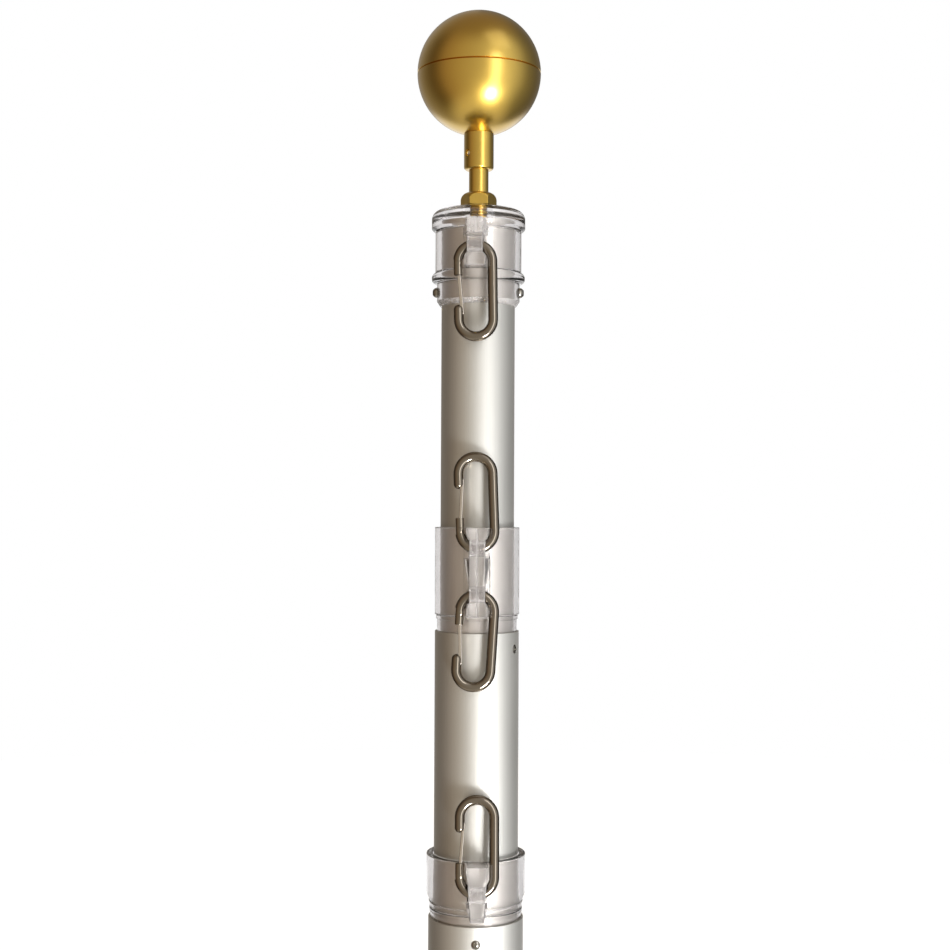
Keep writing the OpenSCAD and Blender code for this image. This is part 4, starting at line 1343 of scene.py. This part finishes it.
class BuildFinial(Operator):
    """Makes the ball, its collar and set screw, and the spindle that stands in the cap"""

    bl_idname = "flagpole.finial"
    bl_label = "Finial"

    def execute(self, context):
        pole = context.scene.flagpole
        self.sizes, self.seat = pole.finial, pole.bushings.seat_gap
        self.radius = outside("finial_ball_upper")
        self.middle = foot("finial_ball_upper")
        self.upper_shell()
        self.lower_shell()
        self.collar()
        self.set_screw()
        self.spindle()
        return {"FINISHED"}

    def upper_shell(self):
        """The ball's upper shell, with a bevelled edge at the seam."""
        inside, seam, middle = self.radius - self.sizes.ball_wall, self.sizes.seam, self.middle
        start = asin(seam / self.radius)
        outline = [(inside, middle), (self.radius - self.sizes.seam_depth, middle)]
        outline += arc(0, middle, self.radius, start, pi / 2, SHELL_STEPS)[:-1]
        outline += [(0, middle + self.radius), (0, middle + inside)]
        outline += arc(0, middle, inside, pi / 2, 0, SHELL_STEPS)[1:-1]
        piece = new_object("ball_upper_shell", turned(outline, BALL_STEPS))
        smooth(piece)
        place(piece, "top_section", "gold_anodised", finish("gold"), "finial_ball_upper")

    def lower_shell(self):
        """The ball's lower shell, with its inner lip and the hole for the collar's spigot."""
        sizes, middle = self.sizes, self.middle
        inside, seam = self.radius - sizes.ball_wall, sizes.seam
        hole = sizes.spigot / 2 + self.seat
        start = asin(seam / self.radius)
        lip = inside - sizes.lip_thick
        fit = inside - self.seat
        lip_top = sqrt(fit**2 - sizes.lip_height**2)
        outline = [(lip, middle + sizes.lip_height), (lip_top, middle + sizes.lip_height), (fit, middle)]
        outline += [(self.radius - sizes.seam_depth, middle)]
        outline += arc(0, middle, self.radius, -start, -pi / 2 + asin(hole / self.radius), SHELL_STEPS)
        low = asin(hole / inside)
        outline += arc(0, middle, inside, -pi / 2 + low, -asin(sizes.lip_height / inside), LIP_STEPS)
        outline += [(lip, middle - sizes.lip_height)]
        piece = new_object("ball_lower_shell", turned(outline, BALL_STEPS))
        smooth(piece)
        place(piece, "top_section", "gold_anodised", finish("gold"), "finial_ball_lower")

    def collar(self):
        """The collar under the ball, dished to the ball and drilled for the set screw."""
        sizes = self.sizes
        low, wide = foot("finial_collar"), sizes.collar / 2
        bore = sizes.stem / 2 + self.seat
        spigot = sizes.spigot / 2
        dish = self.middle - sqrt((self.radius + self.seat) ** 2 - spigot**2)
        edge = self.middle - sqrt((self.radius + self.seat) ** 2 - wide**2)
        outline = eased(
            [
                (bore, low, 0), (wide, low, sizes.collar_round), (wide, edge, sizes.collar_edge),
                (spigot, dish, 0), (spigot, head("finial_collar"), 0), (bore, head("finial_collar"), 0),
            ],
            8,
        )
        piece = new_object("finial_collar_turning", turned(outline, TURNED_STEPS))
        spot = Matrix.Translation((0, 0, low + sizes.set_screw_up)) @ about_z(sizes.set_screw_turn)
        lie = spot @ Matrix.Rotation(pi / 2, 4, "X")
        combine(piece, "DIFFERENCE", rod(sizes.set_screw / 2 + self.seat, 0, 2 * wide), lie)
        smooth(piece)
        place(piece, "top_section", "gold_anodised", finish("gold"), "finial_collar")

    def set_screw(self):
        """The set screw, with its hexagon socket."""
        sizes = self.sizes
        inner = sizes.stem / 2 + self.seat
        outer = sizes.collar / 2 - sizes.set_screw_in
        wide = sizes.set_screw / 2
        rise = sizes.set_screw_rise
        dome = (wide**2 + rise**2) / (2 * rise)
        crown = arc(0, outer - dome, dome, pi / 2 - asin(wide / dome), pi / 2, 10)[:-1]
        outline = [(0, inner), (wide, inner), *crown, (0, outer)]
        piece = new_object("finial_set_screw_body", turned(outline, 48, closed=False))
        socket = extruded(hexagon(sizes.set_screw_socket / 2), outer - sizes.set_screw_deep, outer + MM)
        combine(piece, "DIFFERENCE", socket)
        height = foot("finial_collar") + sizes.set_screw_up
        lie = Matrix.Translation((0, 0, height)) @ about_z(sizes.set_screw_turn)
        piece.data.transform(lie @ Matrix.Rotation(pi / 2, 4, "X"))
        smooth(piece, sizes.set_screw_edge, segments=2)
        # The set screw's near-white steel is a painted glint.
        place(piece, "top_section", "stainless_screw", finish("painted_glint_steel"), "finial_set_screw")

    def spindle(self):
        """The spindle: a stem, a hexagon with a domed top, and a threaded shank."""
        sizes = self.sizes
        base = foot("finial_spindle") + sizes.shank_length
        top = base + sizes.hexagon_height
        corner = sizes.hexagon / sqrt(3)
        piece = new_object("finial_spindle_bar", extruded(hexagon(corner), base, top))
        rounding = sizes.hexagon_round
        dome = arc(corner - rounding, top - rounding, rounding, 0, pi / 2, 16)
        blank = [(0, base - MM), (corner, base - MM), *dome, (0, top)]
        combine(piece, "INTERSECT", turned(blank, TURNED_STEPS, closed=False))
        stem = sizes.stem / 2
        combine(piece, "UNION", rod(stem, top - MM, head("finial_spindle"), TURNED_STEPS))
        core = sizes.shank / 2 - sizes.thread_depth
        combine(piece, "UNION", rod(core, foot("finial_spindle"), base + MM, TURNED_STEPS))
        smooth(piece, sizes.bar_round, limit=30)
        length = sizes.shank_length - 2 * MM
        thread = grown(
            "finial_thread", thread_tree(),
            {
                "Radius": core, "Length": length, "Pitch": sizes.pitch, "Ridge": sizes.ridge,
                "Foot": foot("finial_spindle") + MM, "Material": finish("gold"),
            },
        )
        smooth(thread)
        place(thread, "top_section", "gold_anodised", finish("gold"), "finial_spindle")
        place(piece, "top_section", "gold_anodised", finish("gold"), "finial_spindle")


# ---- Foot and guides ----


class BuildInside(Operator):
    """Makes the plug in the foot and gives the hidden guides their finish"""

    bl_idname = "flagpole.inside"
    bl_label = "Foot plug and guides"

    def execute(self, context):
        radius, ease = outside("base_plug"), context.scene.flagpole.tubes.plug_round
        high = head("base_plug")
        outline = eased([(0, 0, 0), (radius, 0, ease), (radius, high, ease), (0, high, 0)])
        piece = new_object("base_plug_moulding", turned(outline, TURNED_STEPS, closed=False))
        smooth(piece)
        place(piece, "base", "black_plastic", finish("polyethylene"), "base_plug")
        for section in SECTIONS[:-1]:
            guide = frame["nodes"][f"{section}_guide"]
            guide.data.materials.clear()
            guide.data.materials.append(finish("nylon"))
        return {"FINISHED"}


# ---- Stage ----

# The walls of the room that metal reflects, in degrees to the right of straight ahead of the pole's front.
ROOM_WALLS = (
    (-180, "#98938c"), (-145, "#98938c"), (-100, "#54493f"), (-84, "#695a4c"), (-70, "#99846f"),
    (-50, "#ab9a84"), (-30, "#b7ab98"), (0, "#c6bfb3"), (55, "#ebebea"), (75, "#cbcbca"), (100, "#7c7b79"),
    (130, "#5c5a57"), (180, "#77746f"),
)
CEILING, GROUND, BACKDROP = "#8a7a68", "#ddd7cc", "#ffffff"
FLOOR_STEPS = 64


class BuildStage(Operator):
    """Makes the floor, the surroundings, the lamps and the camera"""

    bl_idname = "flagpole.stage"
    bl_label = "Stage"

    def execute(self, context):
        self.settings = context.scene.flagpole.stage
        self.aim = Vector((0, 0, head("upper_tube") + self.settings.above))
        self.floor()
        self.surroundings(context.scene)
        self.lamps()
        self.camera(context.scene)
        context.scene.view_settings.view_transform = "Standard"
        # Metal behind clear plastic keeps its sharp reflections.
        context.scene.cycles.blur_glossy = 0
        return {"FINISHED"}

    def floor(self):
        """A pale floor that shows white where no shadow falls."""
        around = 2 * pi * (FLOOR_STEPS - 1) / FLOOR_STEPS
        outline = arc(0, 0, self.settings.floor, 0, around, FLOOR_STEPS - 1)
        mesh = bmesh.new()
        mesh.faces.new([mesh.verts.new((x, y, 0)) for x, y in outline])
        piece = new_object("floor", mesh)
        made, tree, _ = new_material("pale_floor")
        paint = add(tree, "ShaderNodeBsdfDiffuse", {"Color": (0.8, 0.8, 0.8, 1)})
        glow = add(tree, "ShaderNodeEmission", {"Strength": self.shown(tree, self.settings.floor_glow)})
        both = add(tree, "ShaderNodeAddShader", {0: paint.outputs[0], 1: glow.outputs[0]})
        add(tree, "ShaderNodeOutputMaterial", {"Surface": both.outputs[0]})
        piece.data.materials.append(made)
        piece.visible_glossy = False
        piece.visible_transmission = False

    def shown(self, tree, most):
        """How much of the white background a ray sees: all of it straight from the camera, and most of it
        through clear plastic, with at most one reflection on the way."""
        ray = add(tree, "ShaderNodeLightPath").outputs
        # A reflection counts as three walls, and a ray may pass five.
        bends = add(
            tree, "ShaderNodeMath", {0: ray["Glossy Depth"], 1: 3.0, 2: ray["Transmission Depth"]},
            operation="MULTIPLY_ADD",
        )
        direct = add(tree, "ShaderNodeMath", {0: bends.outputs[0], 1: 5.5}, operation="LESS_THAN")
        through = add(
            tree, "ShaderNodeMath", {0: ray["Is Transmission Ray"], 1: direct.outputs[0]},
            operation="MULTIPLY",
        )
        part = add(
            tree, "ShaderNodeMath", {0: through.outputs[0], 1: self.settings.plastic_share},
            operation="MULTIPLY",
        )
        share = add(
            tree, "ShaderNodeMath", {0: ray["Is Camera Ray"], 1: part.outputs[0]}, operation="MAXIMUM"
        )
        scaled = add(tree, "ShaderNodeMath", {0: share.outputs[0], 1: most}, operation="MULTIPLY")
        return scaled.outputs[0]

    def surroundings(self, scene):
        """White to the camera. To reflections it is a studio: a white backdrop behind the pole, a dark warm
        wall on its left, paler screens on its right, a dim warm ceiling and a pale ground."""
        world = bpy.data.worlds.new("studio")
        scene.world = world
        world.use_nodes = True
        tree = world.node_tree
        tree.nodes.clear()
        way = add(tree, "ShaderNodeTexCoord").outputs["Generated"]
        parts = add(tree, "ShaderNodeSeparateXYZ", {"Vector": way}).outputs
        ahead = add(tree, "ShaderNodeMath", {0: parts["Y"], 1: -1.0}, operation="MULTIPLY")
        side = add(tree, "ShaderNodeMath", {0: parts["X"], 1: ahead.outputs[0]}, operation="ARCTAN2")
        share = add(
            tree, "ShaderNodeMapRange",
            {"Value": side.outputs[0], "From Min": -pi, "From Max": pi, "To Min": 0.0, "To Max": 1.0},
        )
        walls = add(tree, "ShaderNodeValToRGB", {"Fac": share.outputs[0]})
        ramp = walls.color_ramp
        while len(ramp.elements) < len(ROOM_WALLS):
            ramp.elements.new(0.5)
        for element, (degrees, code) in zip(ramp.elements, ROOM_WALLS):
            element.position = degrees / 360 + 0.5
            element.color = solid(linear(code))
        # Each zone starts and ends where a ray of length 1 has these heights. The backdrop is the zone
        # straight behind the pole, and it is wider low down.
        room = self.blended(tree, parts["Z"], 0.6, 1.0, walls.outputs["Color"], CEILING)
        room = self.blended(tree, parts["Z"], -0.62, -0.97, room, GROUND)
        back = add(tree, "ShaderNodeMath", {0: parts["Z"], 1: -0.45, 2: parts["Y"]}, operation="MULTIPLY_ADD")
        room = self.blended(tree, back.outputs[0], 0.92, 1.02, room, BACKDROP)
        room = self.through_plastic(tree, side.outputs[0], parts["Z"], room)
        seen = add(
            tree, "ShaderNodeMix", {"Factor": self.shown(tree, 1.0), 6: room, 7: (1, 1, 1, 1)},
            data_type="RGBA",
        )
        light = add(tree, "ShaderNodeBackground", {"Color": seen.outputs[2], "Strength": 1.0})
        add(tree, "ShaderNodeOutputWorld", {"Surface": light.outputs[0]})

    def through_plastic(self, tree, side, height, room):
        """Adds the glow of the lamps for a ray that left a tube through clear plastic, because the lamps'
        own light doesn't reach a tube there. Such a ray has passed three walls or more."""
        settings = self.settings
        off = add(tree, "ShaderNodeMath", {0: side, 1: -settings.key_side}, operation="ADD")
        off = add(tree, "ShaderNodeMath", {0: off.outputs[0]}, operation="ABSOLUTE")
        glow = add(
            tree, "ShaderNodeMapRange",
            {
                "Value": off.outputs[0], "From Max": settings.glow_spread,
                "To Min": settings.glow, "To Max": 0.0,
            },
            interpolation_type="SMOOTHSTEP",
        )
        # The lamps lie low, so their glow fades out above the rings.
        low = add(
            tree, "ShaderNodeMapRange", {"Value": height, "From Min": 0.4, "From Max": -0.3},
            interpolation_type="SMOOTHSTEP",
        )
        ray = add(tree, "ShaderNodeLightPath").outputs
        deep = add(tree, "ShaderNodeMath", {0: ray["Transmission Depth"], 1: 2.5}, operation="GREATER_THAN")
        share = add(tree, "ShaderNodeMath", {0: glow.outputs[0], 1: low.outputs[0]}, operation="MULTIPLY")
        share = add(tree, "ShaderNodeMath", {0: share.outputs[0], 1: deep.outputs[0]}, operation="MULTIPLY")
        more = add(tree, "ShaderNodeVectorMath", {0: room, 1: share.outputs[0]}, operation="ADD")
        return more.outputs[0]

    def blended(self, tree, value, start, end, under, code):
        """A colour that turns into another one as a value goes from start to end."""
        share = add(
            tree, "ShaderNodeMapRange", {"Value": value, "From Min": start, "From Max": end},
            interpolation_type="SMOOTHSTEP",
        )
        mixed = add(
            tree, "ShaderNodeMix", {"Factor": share.outputs[0], 6: under, 7: solid(linear(code))},
            data_type="RGBA",
        )
        return mixed.outputs[2]

    def lamp(self, name, power, size, side, rise, reach, lift=0.0):
        """A softbox of this width and height, that faces the rings from this side and rise and is then
        lifted."""
        lamp = bpy.data.lights.new(name, "AREA")
        lamp.shape = "RECTANGLE"
        lamp.size, lamp.size_y = size
        lamp.energy = power
        made = bpy.data.objects.new(name, lamp)
        bpy.context.scene.collection.objects.link(made)
        away = Vector((sin(side), -cos(side), tan(rise))).normalized()
        made.location = self.aim + away * reach + Vector((0, 0, lift))
        made.rotation_mode = "QUATERNION"
        made.rotation_quaternion = away.to_track_quat("Z", "Y")
        made.visible_camera = False

    def lamps(self):
        """A key light low on the right, with a tall dimmer strip behind it, and a soft light above."""
        settings = self.settings
        key = (settings.key_size, settings.key_size)
        self.lamp("key", settings.key_power, key, settings.key_side, settings.key_rise, settings.key_reach)
        strip = (settings.strip_width, settings.strip_height)
        self.lamp(
            "strip", settings.strip_power, strip, settings.key_side, 0, settings.strip_reach,
            -settings.strip_drop,
        )
        soft = (settings.fill_size, settings.fill_size)
        self.lamp(
            "soft", settings.fill_power, soft, settings.fill_side, settings.fill_rise, settings.fill_reach
        )

    def camera(self, scene):
        """The camera, level with the rings."""
        settings = self.settings
        lens = bpy.data.cameras.new("camera")
        lens.lens = settings.lens
        lens.clip_start = 0.01
        made = bpy.data.objects.new("camera", lens)
        scene.collection.objects.link(made)
        tip = Matrix.Rotation(pi / 2 + settings.pitch, 4, "X") @ about_z(settings.roll)
        made.matrix_world = Matrix.Translation((-settings.aside, -settings.distance, self.aim.z)) @ tip
        scene.camera = made


class FlagpolePanel(Panel):
    """Lists the flagpole's pieces in the sidebar"""

    bl_idname = "VIEW3D_PT_flagpole"
    bl_label = "Flagpole"
    bl_space_type = "VIEW_3D"
    bl_region_type = "UI"
    bl_category = "Flagpole"

    def draw(self, context):
        for build in BUILDERS:
            self.layout.operator(build.bl_idname)


GROUPS = (
    TubeSizes, BushingSizes, RingSizes, ClipSizes, ScrewSizes, CollarSizes, CapSizes, FinialSizes, Finishes,
    StageSettings, Flagpole,
)
BUILDERS = (
    BuildTubes, BuildBushings, BuildScrews, BuildRings, BuildClips, BuildCollar, BuildCap, BuildFinial,
    BuildInside, BuildStage,
)


def register():
    """Adds the flagpole's settings, operators and panel."""
    for made in (*GROUPS, *BUILDERS, FlagpolePanel):
        bpy.utils.register_class(made)
    bpy.types.Scene.flagpole = PointerProperty(type=Flagpole)


def unregister():
    """Takes the flagpole's settings, operators and panel away."""
    del bpy.types.Scene.flagpole
    for made in reversed((*GROUPS, *BUILDERS, FlagpolePanel)):
        bpy.utils.unregister_class(made)


def main():
    """Builds every piece."""
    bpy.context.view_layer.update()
    register()
    for build in BUILDERS:
        group, name = build.bl_idname.split(".")
        getattr(getattr(bpy.ops, group), name)()


if __name__ == "__main__":
    main()
